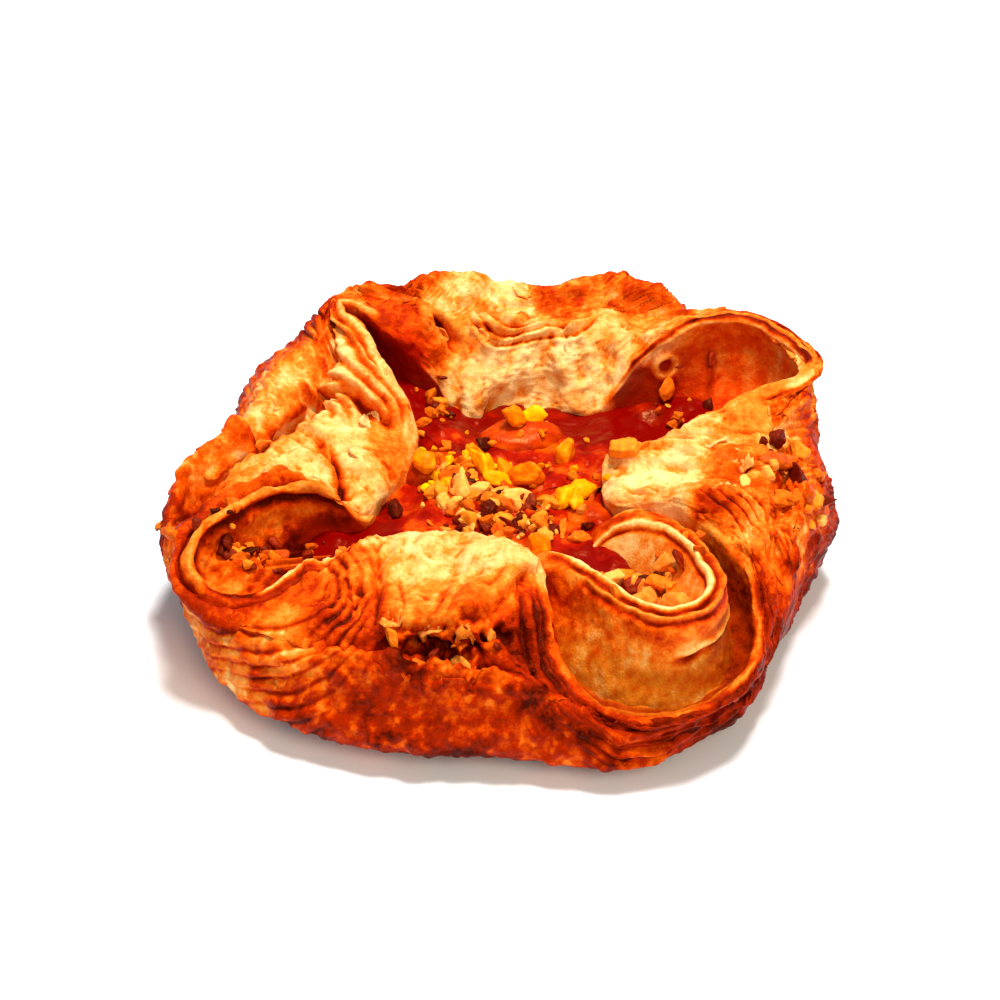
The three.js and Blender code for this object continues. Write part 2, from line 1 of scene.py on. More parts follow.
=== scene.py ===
import itertools
import math
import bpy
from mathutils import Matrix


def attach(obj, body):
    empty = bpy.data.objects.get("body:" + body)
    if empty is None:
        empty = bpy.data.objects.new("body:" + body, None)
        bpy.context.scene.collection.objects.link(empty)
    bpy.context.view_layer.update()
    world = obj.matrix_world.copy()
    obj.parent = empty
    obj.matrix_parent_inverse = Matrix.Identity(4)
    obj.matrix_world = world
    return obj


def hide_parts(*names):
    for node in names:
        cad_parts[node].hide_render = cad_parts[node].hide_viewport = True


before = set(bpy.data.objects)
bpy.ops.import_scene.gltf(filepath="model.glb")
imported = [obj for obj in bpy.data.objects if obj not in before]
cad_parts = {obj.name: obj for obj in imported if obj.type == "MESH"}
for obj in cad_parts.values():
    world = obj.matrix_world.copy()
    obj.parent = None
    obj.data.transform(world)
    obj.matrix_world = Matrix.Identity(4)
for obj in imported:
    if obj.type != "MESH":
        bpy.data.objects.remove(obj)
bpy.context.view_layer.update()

from types import SimpleNamespace

import bmesh
import bpy
import numpy as np
from mathutils import Vector
from mathutils.bvhtree import BVHTree

# Crown pastry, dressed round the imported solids: laminated dough with four folded lobes and four pockets,
# a pool of apricot filling, soft fruit pieces and chopped nuts. Shape sizes are in millimetres, and the
# meshes are in metres. Azimuths are in degrees, counterclockwise from +X.

MM = 0.001
COLUMNS_PER_CONTROL = 20
FILLING_LEVEL = 15.2
FILLING_DOME = 1.7
FILLING_SKIRT = 6
FILLING_MARGIN = 1.5
BASE_CENTRE = (0, 0, 0)
FLOOR_CENTRE = (0, 0, 8)

# Pockets, counterclockwise from the one at the front right. Each runs from its mouth at the filling
# to its end at the outer wall. Widths and rim heights are given on both sides at these fractions.
FRACTIONS = [0, 0.25, 0.5, 0.75, 0.93]
POCKETS = [
    {
        "mouth": (16.4, -18.5), "end": (27.5, -45.8), "end_height": 11.7, "floor": (10.6, 11.5), "lip": 1.8,
        "clockwise": ((12, 13, 14.2, 12.5, 7.5), (22.5, 17.5, 14, 12, 11.5)),
        "counter": ((13.5, 15.5, 17, 14.5, 8.5), (25, 24, 20, 15, 12.5)),
        "jam": (0.2, 15.2),
    },
    {
        "mouth": (17, 16), "end": (50.2, 19.5), "end_height": 30, "floor": (10, 20), "lip": 2.6,
        "clockwise": ((8.2, 9.6, 6.8, 3.6, 1.8), (21, 24.2, 26.8, 28.2, 29)),
        "counter": ((9.6, 12.2, 14, 12.4, 6), (17.5, 26.5, 30.8, 31.8, 31)),
        "jam": (0.62, 17),
    },
    {
        "mouth": (-11.5, 21), "end": (-28, 38), "end_height": 31.3, "floor": (11, 22), "lip": 2.2,
        "clockwise": ((6.2, 4.8, 2.4, 1.1, 0.8), (15.5, 22, 28.4, 30.6, 31.2)),
        "counter": ((4.6, 4.4, 3, 1.5, 1), (20, 26, 29, 30.4, 30.8)),
        "jam": (0.7, 22),
    },
    {
        "mouth": (-20, -9.5), "end": (-47.5, -22.5), "end_height": 21, "floor": (9, 14), "lip": 3,
        "clockwise": ((3.5, 6.8, 6.4, 4.6, 2.6), (18, 23.5, 25.5, 25.6, 24)),
        "counter": ((3.6, 4.6, 5.8, 6.6, 4.2), (19.8, 19.4, 18.6, 17.8, 18.6)),
        "jam": (0.36, 14.2),
    },
]

# Lobes: the folded corners. Each follows the pocket of the same number, counterclockwise.
# The tip is pressed into the filling, and the crest is the outer edge: radius and height at three places.
LOBES = [
    {"tip": (16.6, -1.5, 18.5), "crest": ((44, 24.5), (43, 26), (43, 26.5)), "crown": 1.6},
    {"tip": (3, 28.5, 15), "crest": ((41, 27.8), (35.5, 28.6), (36.5, 29.4)), "crown": 1},
    {"tip": (-17, 3.5, 17.5), "crest": ((33.5, 25), (36.5, 22.8), (43.5, 22.6)), "crown": 1.8},
    {"tip": (-7.5, -13.2, 20.5), "crest": ((43.5, 17.5), (40.5, 19), (40.5, 18)), "crown": 1.6},
]

# The outer wall, counterclockwise from the right: azimuth, then radius and height of the widest place,
# of the shoulder above it, and of the crevice between the shoulder and the folds
WALL_STATIONS = np.array([
    (0, 53.5, 17, 47.5, 25, 45, 23.8),
    (11, 53, 19, 49.5, 27, 46.5, 25),
    (22, 55.6, 20, 53.6, 28.5, 52.4, 28.8),
    (36, 55.8, 20, 53.3, 30.5, 51.8, 30.4),
    (50, 55, 19, 51, 30.5, 48, 28.2),
    (62, 56.6, 21, 51.5, 30, 45, 26.4),
    (76, 54.5, 20, 48.5, 30.6, 41.5, 26.9),
    (90, 52.5, 19, 44.5, 30, 38.5, 26.9),
    (104, 53.4, 19, 46, 32.2, 39, 28),
    (116, 52, 20, 47.5, 31.8, 43.5, 29.5),
    (127, 52.2, 21, 49.4, 31, 48, 30),
    (138, 53.8, 20, 48, 28.2, 37, 24.5),
    (150, 52.4, 18, 44.5, 26.8, 35, 20.5),
    (162, 48.5, 17, 44, 25.5, 38, 19.5),
    (172, 49, 17, 47, 25.2, 42, 19.5),
    (182, 54, 16, 51, 24.6, 46.8, 18),
    (192, 55.5, 14, 53.5, 21, 50.8, 15.5),
    (202, 54.6, 11, 53.6, 17, 51.8, 13.8),
    (212, 53.8, 7, 52.6, 13.5, 51, 12.8),
    (222, 53.2, 5, 50.8, 13.5, 48.4, 14.3),
    (232, 52.2, 4.5, 47.2, 16.2, 44.4, 14.5),
    (244, 50.2, 4, 44, 18, 41.3, 14.5),
    (258, 48, 4, 42.8, 18.2, 40.5, 14.5),
    (270, 47.5, 4, 43, 17.2, 41, 14.5),
    (280, 49.3, 4, 46, 14, 44.8, 13.8),
    (290, 52.8, 4, 51.4, 10.6, 50.6, 10.8),
    (302, 54, 4.5, 53.9, 9.2, 53.4, 10.3),
    (316, 52.8, 5.5, 53.1, 10.3, 52.8, 11.4),
    (328, 51, 8, 51, 15, 50.2, 16),
    (338, 50.4, 12, 47.8, 21.5, 45.5, 21.5),
    (349, 51.8, 15, 46.8, 24.3, 44.8, 23),
])

# The curl: a smaller rolled pocket that stands inside the front right pocket
CURL = {
    "mouth": (12, -17), "end": (28.6, -35.8), "end_height": 24.8, "sill": 13.5, "floor": (14, 19.5),
    "feet": (9, 11.6), "heart": 16, "bottom": 6,
    "clockwise": ((6, 5.5, 6, 6.4, 5.2), (22.3, 23.2, 24, 24.8, 25.2)),
    "counter": ((8.6, 10.6, 9.4, 7, 4.4), (20, 22.8, 24.4, 25, 25.2)),
    "lips": (2, 2, 2.2, 2.4, 2.4, 2, 1.8, 1.8, 2.2, 3, 3.6, 3),
    "reaches": (8, 10.4, 9.6, 8.4, 6.8, 5.2, 4.4, 4.2, 4.4, 4.6, 5, 4),
}

# Creases where folds lie against each other, and strands, which stand up: a route, and the width, depth
# and tone. The creases' dark tones are painted shade.
CREASES = [
    ([(-29.5, 7.5, 23), (-27.3, 2.7, 22), (-25.5, -3.3, 20.5)], 1.5, 1.5, 0.7),
    ([(-22, -26.5, 19.5), (-25.5, -31.5, 14.5), (-28, -36.5, 10)], 1.1, 1.5, 1.0),
    ([(-25, -27.5, 18.5), (-28, -31.5, 14), (-31, -35.5, 10)], 1.0, 1.3, 0.9),
    ([(3, -27, 22), (3.2, -31, 20.5), (3.6, -36, 18), (5.5, -40.5, 15.5)], 1.0, 1.5, 1.0),
    ([(30.5, -12.5, 26), (37, -15, 25), (41.5, -21.5, 21)], 1.1, 0.9, 0.8),
    ([(-3.2, -36.4, 20.5), (-5, -38.2, 19.5), (-6.3, -39.8, 18.5)], 0.8, -1.6, 0.15),
    ([(-13, -36.4, 19.5), (-12, -38.2, 18), (-12.4, -40, 16.5)], 0.6, -1.2, 0.3),
    ([(-18, -33.5, 18), (-20, -37.5, 16)], 0.5, -1.2, 0.35),
    ([(-20.5, -32, 18.5), (-22.5, -36.5, 16)], 0.5, -1.1, 0.4),
]

# Torn places: a route, the width of the tear and its depth. The tears are painted dark inside: painted
# shade.
GASHES = [
    ([(-17, -36.6, 17.3), (-13, -38.6, 17.4)], 1.5, 2.2),
    ([(-12, -38.8, 17.6), (-9.6, -39.2, 17.2), (-5.5, -39.4, 17.8)], 2.4, 2.8),
    ([(-2, -36.6, 19.5), (1, -36.6, 19.5)], 1.3, 2.4),
]

# Folds that lie over their neighbours: the edge's route with the upper fold on its left, how much
# higher that is, how far the rise reaches, and how ragged the edge is
OVERLAPS = [
    ([(-41.5, 3.5, 22.5), (-40, 6.5, 22.5), (-36.2, 14, 21), (-31.5, 19.4, 21.5)], 2.2, 6, 0.4),
    ([(-39.4, 3, 22.5), (-42.5, 9.5, 22.5), (-47.5, 15, 20)], 1.8, 3.5, 0.3),
    ([(-38, 22, 23), (-31.7, 19.4, 22.5), (-25.5, 17.8, 25), (-20.5, 15.8, 22.5), (-16.2, 13.6, 19.5)],
     2.0, 5, 0.4),
    ([(-25.2, -4, 20.5), (-27.1, 2.7, 22), (-28.6, 8, 23.2)], 1.1, 3, 0.3),
    ([(-7.5, 29.5, 26), (-13, 35.5, 29), (-18.5, 42.5, 30.5)], 2.2, 6, 0.5),
    ([(19.5, 43.5, 30.5), (14.5, 37.5, 29.5), (9, 33, 28)], 1.8, 7, 0.6),
    ([(-5.5, 34.5, 28), (-1, 32.8, 27), (3, 35, 27.5), (5.5, 39, 28)], 0.9, 6, 1.0),
    ([(-18, -35.4, 18.5), (-13, -36.6, 19.5), (-7, -36.4, 20), (-1.5, -35.6, 20.5)], 1.7, 5, 1.0),
]

# Where jam has run up the pockets' walls: middle, radius and strength. Strong stains turn a darker crimson:
# jam, partly painted shade in the narrow pockets.
JAM_STAINS = [
    ((26, 22, 15), 9.5, 1), ((40, 27, 24), 12, 0.5), ((31, 30, 20), 8, 0.75), ((24, 27, 18), 7, 1.25),
    ((-17, 31, 21), 12, 1.3), ((-27, -7, 12), 5, 1), ((15, -14, 12), 8, 1),
]

# Where jam has run over a lobe's flank, beyond the pockets: middle, radius and strength
JAM_SMEARS = [((-17.8, 30, 23), 5.4, 1.2)]

# A burst blister on the wall of the back right pocket, full of jam
BLISTER_MIDDLE = (27.5, 29.7, 23)
BLISTER_RADIUS = 1.9
BLISTER_RIM = 0.6

# Places where the dough is pushed out or in: middle, radius and push
PUSHES = [
    ((-46, 11.5, 19.5), 6, (4.2, -1.2, 0)), ((-43.4, 18.8, 22), 9, (1.6, -0.8, 0)),
    ((-32, 36, 29), 5, (0.6, -1.2, -1.4)), ((-54, -17, 6), 9, (1.6, 0.8, 0)),
    ((52, -13, 10), 9, (-2.3, 0.8, 0)), ((-19, -1, 15), 5, (-2, 0.4, 0)), ((-9.5, 42, 33), 5, (0, 0, -0.8)),
    ((2, 33, 21.5), 6, (0, -2.2, 0)), ((11, 32, 22), 4, (0, -1.3, 0)), ((-42, -18.5, 13), 5.5, (0, 0, 4.6)),
    ((-36, -19.5, 13), 4, (0, 0.5, 2.5)), ((-36.5, 32.5, 27), 4, (2.2, -1.6, -1)),
    ((-17.5, 43, 30), 3.2, (0, -1, -2.6)), ((8, 46, 30), 4, (0, -1, -2.2)),
    ((32, 40, 30), 4.5, (-1, -1.5, -1.6)), ((20, 44, 29), 5, (0, 0, 0.4)),
    ((50, 8, 25), 4.5, (-4.4, -0.8, -0.8)), ((44, -30, 6), 8, (-1.7, 0.9, 0)),
    ((30, -46, 5), 8, (-0.6, 1.3, 0)), ((-6, 43, 30), 7, (0, 0.6, 0.8)),
]

# Swellings along a row: first and last control, the row, half width in rows and rise
SWELLINGS = [
    (40.6, 46.4, 5, 0.85, 2.4), (45.2, 48.8, 5, 0.8, 1.6), (-0.8, 2.6, 5.1, 0.8, 1.6),
]

# Layers that follow a pocket's rim: first and last control, first and last distance from the rim, the
# layers' pitch and depth, and how dark their edges are
LAYER_ZONES = [
    (28.8, 34.6, 1.2, 17, 3.0, 1.3, 0.35),
    (8.8, 11.2, 2, 22, 2.2, 0.8, 0.42),
    (17.8, 27.0, 11, 29, 2.1, 0.8, 0.3),
    (35.4, 38.2, 1, 10, 2.1, 0.4, 0.25),
    (2.6, 8.4, 5, 15, 1.8, 0.9, 0.45),
]

# Layers that curve round a place, like an onion's: its route, first and last control, first and last
# distance, pitch, depth and how dark their edges are
ROUND_LAYERS = [
    ([(-43, -21, 19), (-33, -25.5, 19.5)], 39, 46.2, 6, 26, 1.9, 0.8, 0.6),
]

# Rough places: middle, radius and height of the roughness
ROUGH_PLACES = [
    ((-41, -18, 15), 6, 1.8), ((-33, -12, 13), 5, 1.2), ((-12, -39, 16), 7, 1.0), ((-22, -35, 16), 5, 0.9),
    ((46, -5, 24), 6, 0.6), ((0, -40, 15), 7, 0.6),
]

# Baked patches and painted shade: middle, radius and tone, from 0 for pale dough to 1 for the darkest crust.
# Besides browning, the darkest patches paint shade in cavities, creases and on the lower front wall, and
# some pale ones paint highlights.
BAKED_AND_SHADED_PATCHES = [
    ((-26, -32, 17), 4, 0.76), ((-6, 47, 29), 5, 0.34), ((-39, 14, 23), 4, 0.22), ((-43, 14, 20), 5, 0.34),
    ((-27, 13, 23), 5, 0.02), ((-19, 9.5, 20), 4.5, 0.45), ((-12.5, 30, 25), 4, 0.6),
    ((3, -28.5, 21), 3.5, 0.5), ((-40, 18, 24.5), 6.5, 0.34), ((-27, 25, 28), 4.5, 0.24),
    ((-29, 34, 29), 5, 0.3), ((-22, 38, 30), 5, 0.58), ((-27, 19.5, 24), 5, 0.18), ((-18, 32, 29), 4, 0.62),
    ((-11.5, 40, 30), 4, 0.4), ((-3, 42, 30), 8, 0.16), ((-19, 15, 22), 4, 0.4), ((3, -35, 18), 5, 0.95),
    ((22, -8.3, 21.5), 3.5, 0.26), ((11, 42, 28), 4.5, 0.5), ((24, 43, 29), 7, 0.46),
    ((13, 33, 26), 6, 0.14), ((-0.5, 46, 30), 4, 0.3), ((16, 42, 30), 4, 0.36), ((3, 31, 23), 7, 0.04),
    ((48, 19, 29), 6, 0.26), ((45, 4, 26), 6, 0.32), ((50, -6, 21), 7, 0.48), ((46, -18, 19), 7, 0.44),
    ((37, -6, 27), 4, 0.52), ((33, -15, 26), 4, 0.64), ((38, 0, 27), 4, 0.42), ((25, 5, 25), 3, 0.4),
    ((23, -3, 23), 5, 0.04), ((-33, 0, 22.5), 5, 0.22), ((-35, -9, 25), 4, 0.44),
    ((-17.5, 6, 19), 3.5, 0.36), ((-29.5, -6.8, 20.5), 3, 0.4), ((-34, -9.5, 20), 3.5, 0.46),
    ((-31.5, -8.7, 15), 4.5, 1.08), ((-25.5, -7, 15), 4, 1.05), ((-39.5, -12.5, 18), 4, 0.48),
    ((-44.5, -17.5, 17), 3.5, 0.66), ((-41, -17.5, 15), 4, 0.62), ((-43, -25.5, 18.5), 4, 0.68),
    ((-50, -16, 16), 5, 0.62), ((-33.4, 29, 27.4), 4.5, 0.42), ((-14.5, 6, 17.5), 3, 0.5),
    ((28.5, -12.5, 21), 4.5, 0.36), ((33.6, -19.5, 19), 5, 0.5), ((-33, -14.5, 14), 4, 1.05),
    ((37.5, -27, 14), 5, 0.8), ((-2.5, -30.5, 22), 4, 0.46), ((42, -8, 25.5), 4.5, 0.56),
    ((38, 6, 27), 4, 0.4), ((-37, -27, 17.5), 4, 0.7), ((-31, -24.5, 18.5), 4, 0.64),
    ((-24, -21, 20.5), 5, 0.42), ((-1, -25, 23.5), 5, 0.04), ((-21.5, -30, 20), 5, 0.58),
    ((-3, -34, 21), 5, 0.5), ((-31, -35, 15), 5, 0.38), ((-38, -35, 11), 7, 0.33),
    ((-26, -40.5, 13.5), 5, 0.56), ((-15, -43, 14), 6, 0.72), ((-5, -44, 14.5), 7, 0.5),
    ((-18, -37, 16.5), 4, 0.8), ((-51, -4, 23), 5, 0.48), ((-54, -8, 17), 7, 0.64),
    ((-50, -20, 11), 8, 0.34), ((42, 24, 24), 9, 0.32), ((36, 38, 29), 6, 0.46), ((-6, -46, 5), 9, 0.9),
    ((15, -49, 6), 9, 0.72), ((34, -42, 6), 8, 1.0), ((-28, -42, 5), 9, 0.78), ((-17, -46, 5), 8, 0.86),
    ((-45, -30, 7), 9, 0.36), ((4.5, -36, 17.5), 4.5, 0.85), ((-1, -40, 16.5), 4, 0.75),
    ((2, -44, 13), 5, 0.9), ((45, -25, 8), 7, 0.9), ((10, -44, 12.5), 5, 0.82),
    ((15, -39.5, 11.5), 5, 0.56), ((22.5, -39.5, 11.5), 5, 0.48), ((29.5, -38, 11.5), 5, 0.6),
    ((38, -24, 14), 7, 0.74), ((38, -36, 9), 5, 0.76), ((7, -30, 13), 5, 0.7),
]

# Apricot pieces: middle in plan, height above the filling, half sizes and turn
FRUITS = [
    ((2.5, 17.5), 0.6, (7.2, 4.6, 3.4), 10),
    ((13.4, -3.4), -0.4, (4.4, 5, 3), 70),
    ((-11.5, 9.5), 0.2, (5.2, 4, 3), 35),
    ((24.5, 24.5), -0.5, (5.4, 4.4, 3.2), 25),
]


# Smooth curves. Points are rows of an array, and a curve may carry whole rings of points at once.
def slopes(points, closed):
    if closed:
        before, after = np.roll(points, 1, 0), np.roll(points, -1, 0)
    else:
        before = np.concatenate([2 * points[:1] - points[1:2], points[:-1]])
        after = np.concatenate([points[1:], 2 * points[-1:] - points[-2:-1]])
    near = np.linalg.norm(points - before, axis=-1, keepdims=True) + 1e-6
    far = np.linalg.norm(after - points, axis=-1, keepdims=True) + 1e-6
    return ((points - before) / near * far + (after - points) / far * near) / (near + far)


def cubic(p, q, rise_p, rise_q, t):
    """From p to q. The rises are the slopes at the ends times the length between them."""
    t2, t3 = t * t, t ** 3
    return ((2 * t3 - 3 * t2 + 1) * p + (3 * t2 - 2 * t3) * q
            + (t3 - 2 * t2 + t) * rise_p + (t3 - t2) * rise_q)


def span_between(p, q, slope_p, slope_q, t):
    chord = np.linalg.norm(q - p, axis=-1, keepdims=True)
    return cubic(p, q, chord * slope_p, chord * slope_q, t)


def closed_curve(controls, steps):
    points = np.asarray(controls, float)
    slope = slopes(points, True)
    following, next_slope = np.roll(points, -1, 0), np.roll(slope, -1, 0)
    spans = [span_between(points, following, slope, next_slope, s / steps) for s in range(steps)]
    return np.stack(spans, 1).reshape(-1, points.shape[1])


def along_knots(knots, fraction):
    knots = np.asarray(knots, float)
    x = fraction * (len(knots) - 1)
    i = min(int(x), len(knots) - 2)
    padded = np.vstack([2 * knots[0] - knots[1], knots, 2 * knots[-1] - knots[-2]])
    before, p, q, after = padded[i:i + 4]
    return cubic(p, q, (q - before) / 2, (after - p) / 2, x - i)


def wall_at(degrees):
    """The outer wall's radii and heights at an azimuth."""
    at = WALL_STATIONS[:, 0]
    at = np.concatenate([at[-2:] - 360, at, at[:2] + 360])
    values = np.pad(WALL_STATIONS[:, 1:], ((2, 2), (0, 0)), "wrap")
    i = int(np.searchsorted(at, degrees, side="right")) - 1
    span = at[i + 1] - at[i]
    rises = [span * (values[k + 1] - values[k - 1]) / (at[k + 1] - at[k - 1]) for k in (i, i + 1)]
    return cubic(values[i], values[i + 1], *rises, (degrees - at[i]) / span)


def polar(degrees, radius, z):
    angle = np.radians(degrees)
    return np.stack(np.broadcast_arrays(radius * np.cos(angle), radius * np.sin(angle), z), -1)


def pocket_frame(pocket):
    mouth, end = np.array(pocket["mouth"], float), np.array(pocket["end"], float)
    reach = np.hypot(*(end - mouth))
    along = (end - mouth) / reach
    return mouth, reach, along, np.array([-along[1], along[0]])


def round_pocket(pocket, end, share, margin, height_at):
    """Points down one side of a pocket, round its end and back up the other side."""
    mouth, reach, along, across = pocket_frame(pocket)

    def side(edge, sign):
        return [(*(mouth + along * reach * t * share + across * sign * (width + margin)),
                 height_at(t, height)) for t, width, height in zip(FRACTIONS, *edge)]

    return [*side(pocket["clockwise"], -1), end, *side(pocket["counter"], 1)[::-1]]


def pocket_rim(pocket):
    end = (*pocket["end"], pocket["end_height"])
    return np.array(round_pocket(pocket, end, 1, 0, lambda t, height: height))


def outward(points):
    d = np.roll(points, -1, 0) - np.roll(points, 1, 0)
    normals = np.stack([d[:, 1], -d[:, 0], 0 * d[:, 0]], 1)
    return normals / np.linalg.norm(normals, axis=1, keepdims=True)


# The rim of all four pockets: twelve controls each, the last of them the next lobe's tip. The controls
# round a pocket's end carry its lip, and a lobe's crest runs from one lip to the next.
PER_POCKET = 12
LIP_FIRST = 3
LIP_LAST = 7
LOBE_STEPS = PER_POCKET + LIP_FIRST - LIP_LAST
LIP_DROP = 0.4
STAR_RIM = np.vstack([[*pocket_rim(pocket), lobe["tip"]] for pocket, lobe in zip(POCKETS, LOBES)])
CONTROLS = len(STAR_RIM)


def crest_curve():
    crest = STAR_RIM.copy()
    normals = outward(STAR_RIM)
    for i, pocket in enumerate(POCKETS):
        for k in range(i * PER_POCKET + LIP_FIRST, i * PER_POCKET + LIP_LAST + 1):
            crest[k] = STAR_RIM[k] + normals[k] * pocket["lip"] - (0, 0, LIP_DROP)
    for i, lobe in enumerate(LOBES):
        start = i * PER_POCKET + LIP_LAST
        first, last = crest[start], crest[(start + LOBE_STEPS) % CONTROLS]
        azimuth, stop = (math.degrees(math.atan2(p[1], p[0])) for p in (first, last))
        turn = (stop - azimuth) % 360
        knots = [(math.hypot(*first[:2]), first[2]), *lobe["crest"], (math.hypot(*last[:2]), last[2])]
        for s in range(1, LOBE_STEPS):
            radius, z = along_knots(knots, s / LOBE_STEPS)
            crest[(start + s) % CONTROLS] = polar(azimuth + turn * s / LOBE_STEPS, radius, z)
    return crest


# Inner walls of the pockets: shares across, along and up, then how far the tips' feet lie in and how high
WALL_ROWS = [(0.93, 0.98, 0.55, 0.97, 14), (0.66, 0.92, 0.08, 0.85, 9), (0.2, 0.66, 0, 0.6, 8.5)]


def inner_wall_curve(share_across, share_along, up, tip_in, tip_height):
    curve = STAR_RIM.copy()
    for k, p in enumerate(STAR_RIM):
        if k % PER_POCKET == PER_POCKET - 1:
            curve[k] = (p[0] * tip_in, p[1] * tip_in, min(tip_height, p[2] - 1))
            continue
        pocket = POCKETS[k // PER_POCKET]
        mouth, reach, along, across = pocket_frame(pocket)
        t = (p[:2] - mouth) @ along / reach
        s = (p[:2] - mouth) @ across
        floor = np.interp(t, (0, 1), pocket["floor"])
        curve[k, :2] = mouth + along * reach * t * share_along + across * s * share_across
        curve[k, 2] = floor + (p[2] - floor) * up
    return curve


def loft(curves, counts):
    """Rows of points through key curves, with the place of each row between them."""
    keys = np.stack(curves)
    slope = slopes(keys, False)
    rows, places = [], []
    for i, count in enumerate(counts):
        for s in range(count):
            rows.append(span_between(keys[i], keys[i + 1], slope[i], slope[i + 1], s / count))
            places.append(i + s / count)
    rows.append(keys[-1])
    places.append(len(counts))
    return np.stack(rows), np.array(places, float)


# The shell's key curves run from the foot of the wall over the folds and down into the pockets. These are
# the number of rows from each to the next, and the places of those that relief and tone keep to.
SHELL_ROWS = [4, 26, 22, 20, 18, 16, 34, 34, 24, 14, 20]
SHOULDER = 4
CREST = 6
MID_LOBE = 7
RIM = 8

# The wall's foot and heel as shares of its widest radius, the heel's height, and the bulge and share up of
# the curve between the widest place and the shoulder
FOOT_SHARE = 0.84
HEEL_SHARE = 0.945
HEEL_HEIGHT = 2.2
UPPER_BULGE = 0.45
UPPER_SHARE = 0.58


def shell_rows():
    crest = crest_curve()
    azimuths = np.degrees(np.arctan2(crest[:, 1], crest[:, 0])) % 360
    widest, widest_z, shoulder, shoulder_z, crevice, crevice_z = np.array([wall_at(a) for a in azimuths]).T
    mid_lobe = (crest + STAR_RIM) / 2
    for k in range(CONTROLS):
        lobe, step = divmod((k - LIP_LAST) % CONTROLS, PER_POCKET)
        if 0 < step < LOBE_STEPS:
            mid_lobe[k, 2] += LOBES[lobe]["crown"] * math.sin(math.pi * step / LOBE_STEPS)
    upper_z = widest_z + (shoulder_z - widest_z) * UPPER_SHARE
    curves = [
        polar(azimuths, widest * FOOT_SHARE, 0),
        polar(azimuths, widest * HEEL_SHARE, HEEL_HEIGHT),
        polar(azimuths, widest, widest_z),
        polar(azimuths, (widest + shoulder) / 2 + UPPER_BULGE, upper_z),
        polar(azimuths, shoulder, shoulder_z),
        polar(azimuths, crevice, crevice_z),
        crest,
        mid_lobe,
        STAR_RIM,
        *[inner_wall_curve(*row) for row in WALL_ROWS],
    ]
    return loft([closed_curve(c, COLUMNS_PER_CONTROL) for c in curves], SHELL_ROWS)


SMOOTH_SHELL, SHELL_PLACES = shell_rows()

# Moves the smooth outline's middle to the origin
SHIFT = (SMOOTH_SHELL.min((0, 1)) + SMOOTH_SHELL.max((0, 1))) / 2 * (-1, -1, 0)

# The curl: rows from each key curve to the next, which key curve is its rim, and columns per control
CURL_ROWS = [6, 20, 18, 16, 14, 16]
CURL_RIM = 4
CURL_COLUMNS = 40


def curl_rows():
    mouth, reach, along, across = pocket_frame(CURL)
    sill = (*(mouth - along * reach * 0.12), CURL["sill"])
    rim = np.vstack([pocket_rim(CURL), sill])
    normals = outward(rim)
    lips, reaches = np.array(CURL["lips"]), np.array(CURL["reaches"])
    t = (rim[:, :2] - mouth) @ along / reach
    s = (rim[:, :2] - mouth) @ across

    def ring(out, z):
        curve = rim + normals * np.reshape(out, (-1, 1))
        curve[:, 2] = z
        return curve

    def inside(share_along, share_across, z):
        plan = mouth + np.outer(t * share_along * reach, along) + np.outer(s * share_across, across)
        return np.column_stack([plan, z])

    curves = [
        ring(reaches + 1.4, CURL["feet"][0]),
        ring(reaches, CURL["feet"][1]),
        ring(lips * 0.75 + reaches * 0.28, rim[:, 2] - 6),
        ring(lips, rim[:, 2] - 0.7),
        rim,
        inside(0.95, 0.8, rim[:, 2] - 2.5),
        inside(0.85, 0.5, np.interp(t, (0, 1), CURL["floor"])),
    ]
    rows, places = loft([closed_curve(c, CURL_COLUMNS) for c in curves], CURL_ROWS)
    return rows, places, np.array([*(mouth + along * reach * 0.45), CURL["heart"]])


# Rings of the filling inside its outline, as shares of the outline's size and of the dome's rise, and the
# number of rows from each ring to the next
FILLING_RINGS = [(0.8, 0.4), (0.5, 0.85), (0.2, 1), (0.02, 1)]
FILLING_ROWS = [4, 16, 22, 24, 12]
FILLING_COLUMNS = 10


def filling_rows():
    outline = []
    for pocket, lobe in zip(POCKETS, LOBES):
        mouth, reach, along, _ = pocket_frame(pocket)
        share, height = pocket["jam"]
        end = (*(mouth + along * reach * (share + 0.04)), height)
        slope = height - FILLING_LEVEL
        outline += round_pocket(pocket, end, share, FILLING_MARGIN, lambda t, _: FILLING_LEVEL + slope * t)
        outline.append((lobe["tip"][0] * 1.1, lobe["tip"][1] * 1.1, FILLING_LEVEL - 0.4))
    outline = np.array(outline)

    def ring(share, rise):
        curve = outline * (share, share, 0)
        curve[:, 2] = FILLING_LEVEL + (outline[:, 2] - FILLING_LEVEL) * share ** 2 + rise
        return curve

    rings = [ring(share, FILLING_DOME * dome) for share, dome in FILLING_RINGS]
    curves = [ring(1, -FILLING_SKIRT), outline, *rings]
    return loft([closed_curve(c, FILLING_COLUMNS) for c in curves], FILLING_ROWS)


# Noise. The same points always give the same values.
GRADIENTS = np.random.default_rng(7).normal(size=(4096, 3))
GRADIENTS /= np.linalg.norm(GRADIENTS, axis=1, keepdims=True)


def noise(points, size, seed=0):
    """Smooth noise, about -1 to 1, with features of a size in the points' own units."""
    p = points / np.asarray(size, float) + seed * 19.37
    cell = np.floor(p).astype(np.int64)
    f = p - cell
    w = f * f * f * (f * (f * 6 - 15) + 10)
    total = 0
    for corner in itertools.product((0, 1), repeat=3):
        c = np.array(corner)
        k = cell + c
        index = (k[..., 0] * 73856093 ^ k[..., 1] * 19349663 ^ k[..., 2] * 83492791) & 4095
        weight = np.prod(np.where(c, w, 1 - w), axis=-1)
        total = total + weight * ((f - c) * GRADIENTS[index]).sum(-1)
    return total * 1.7


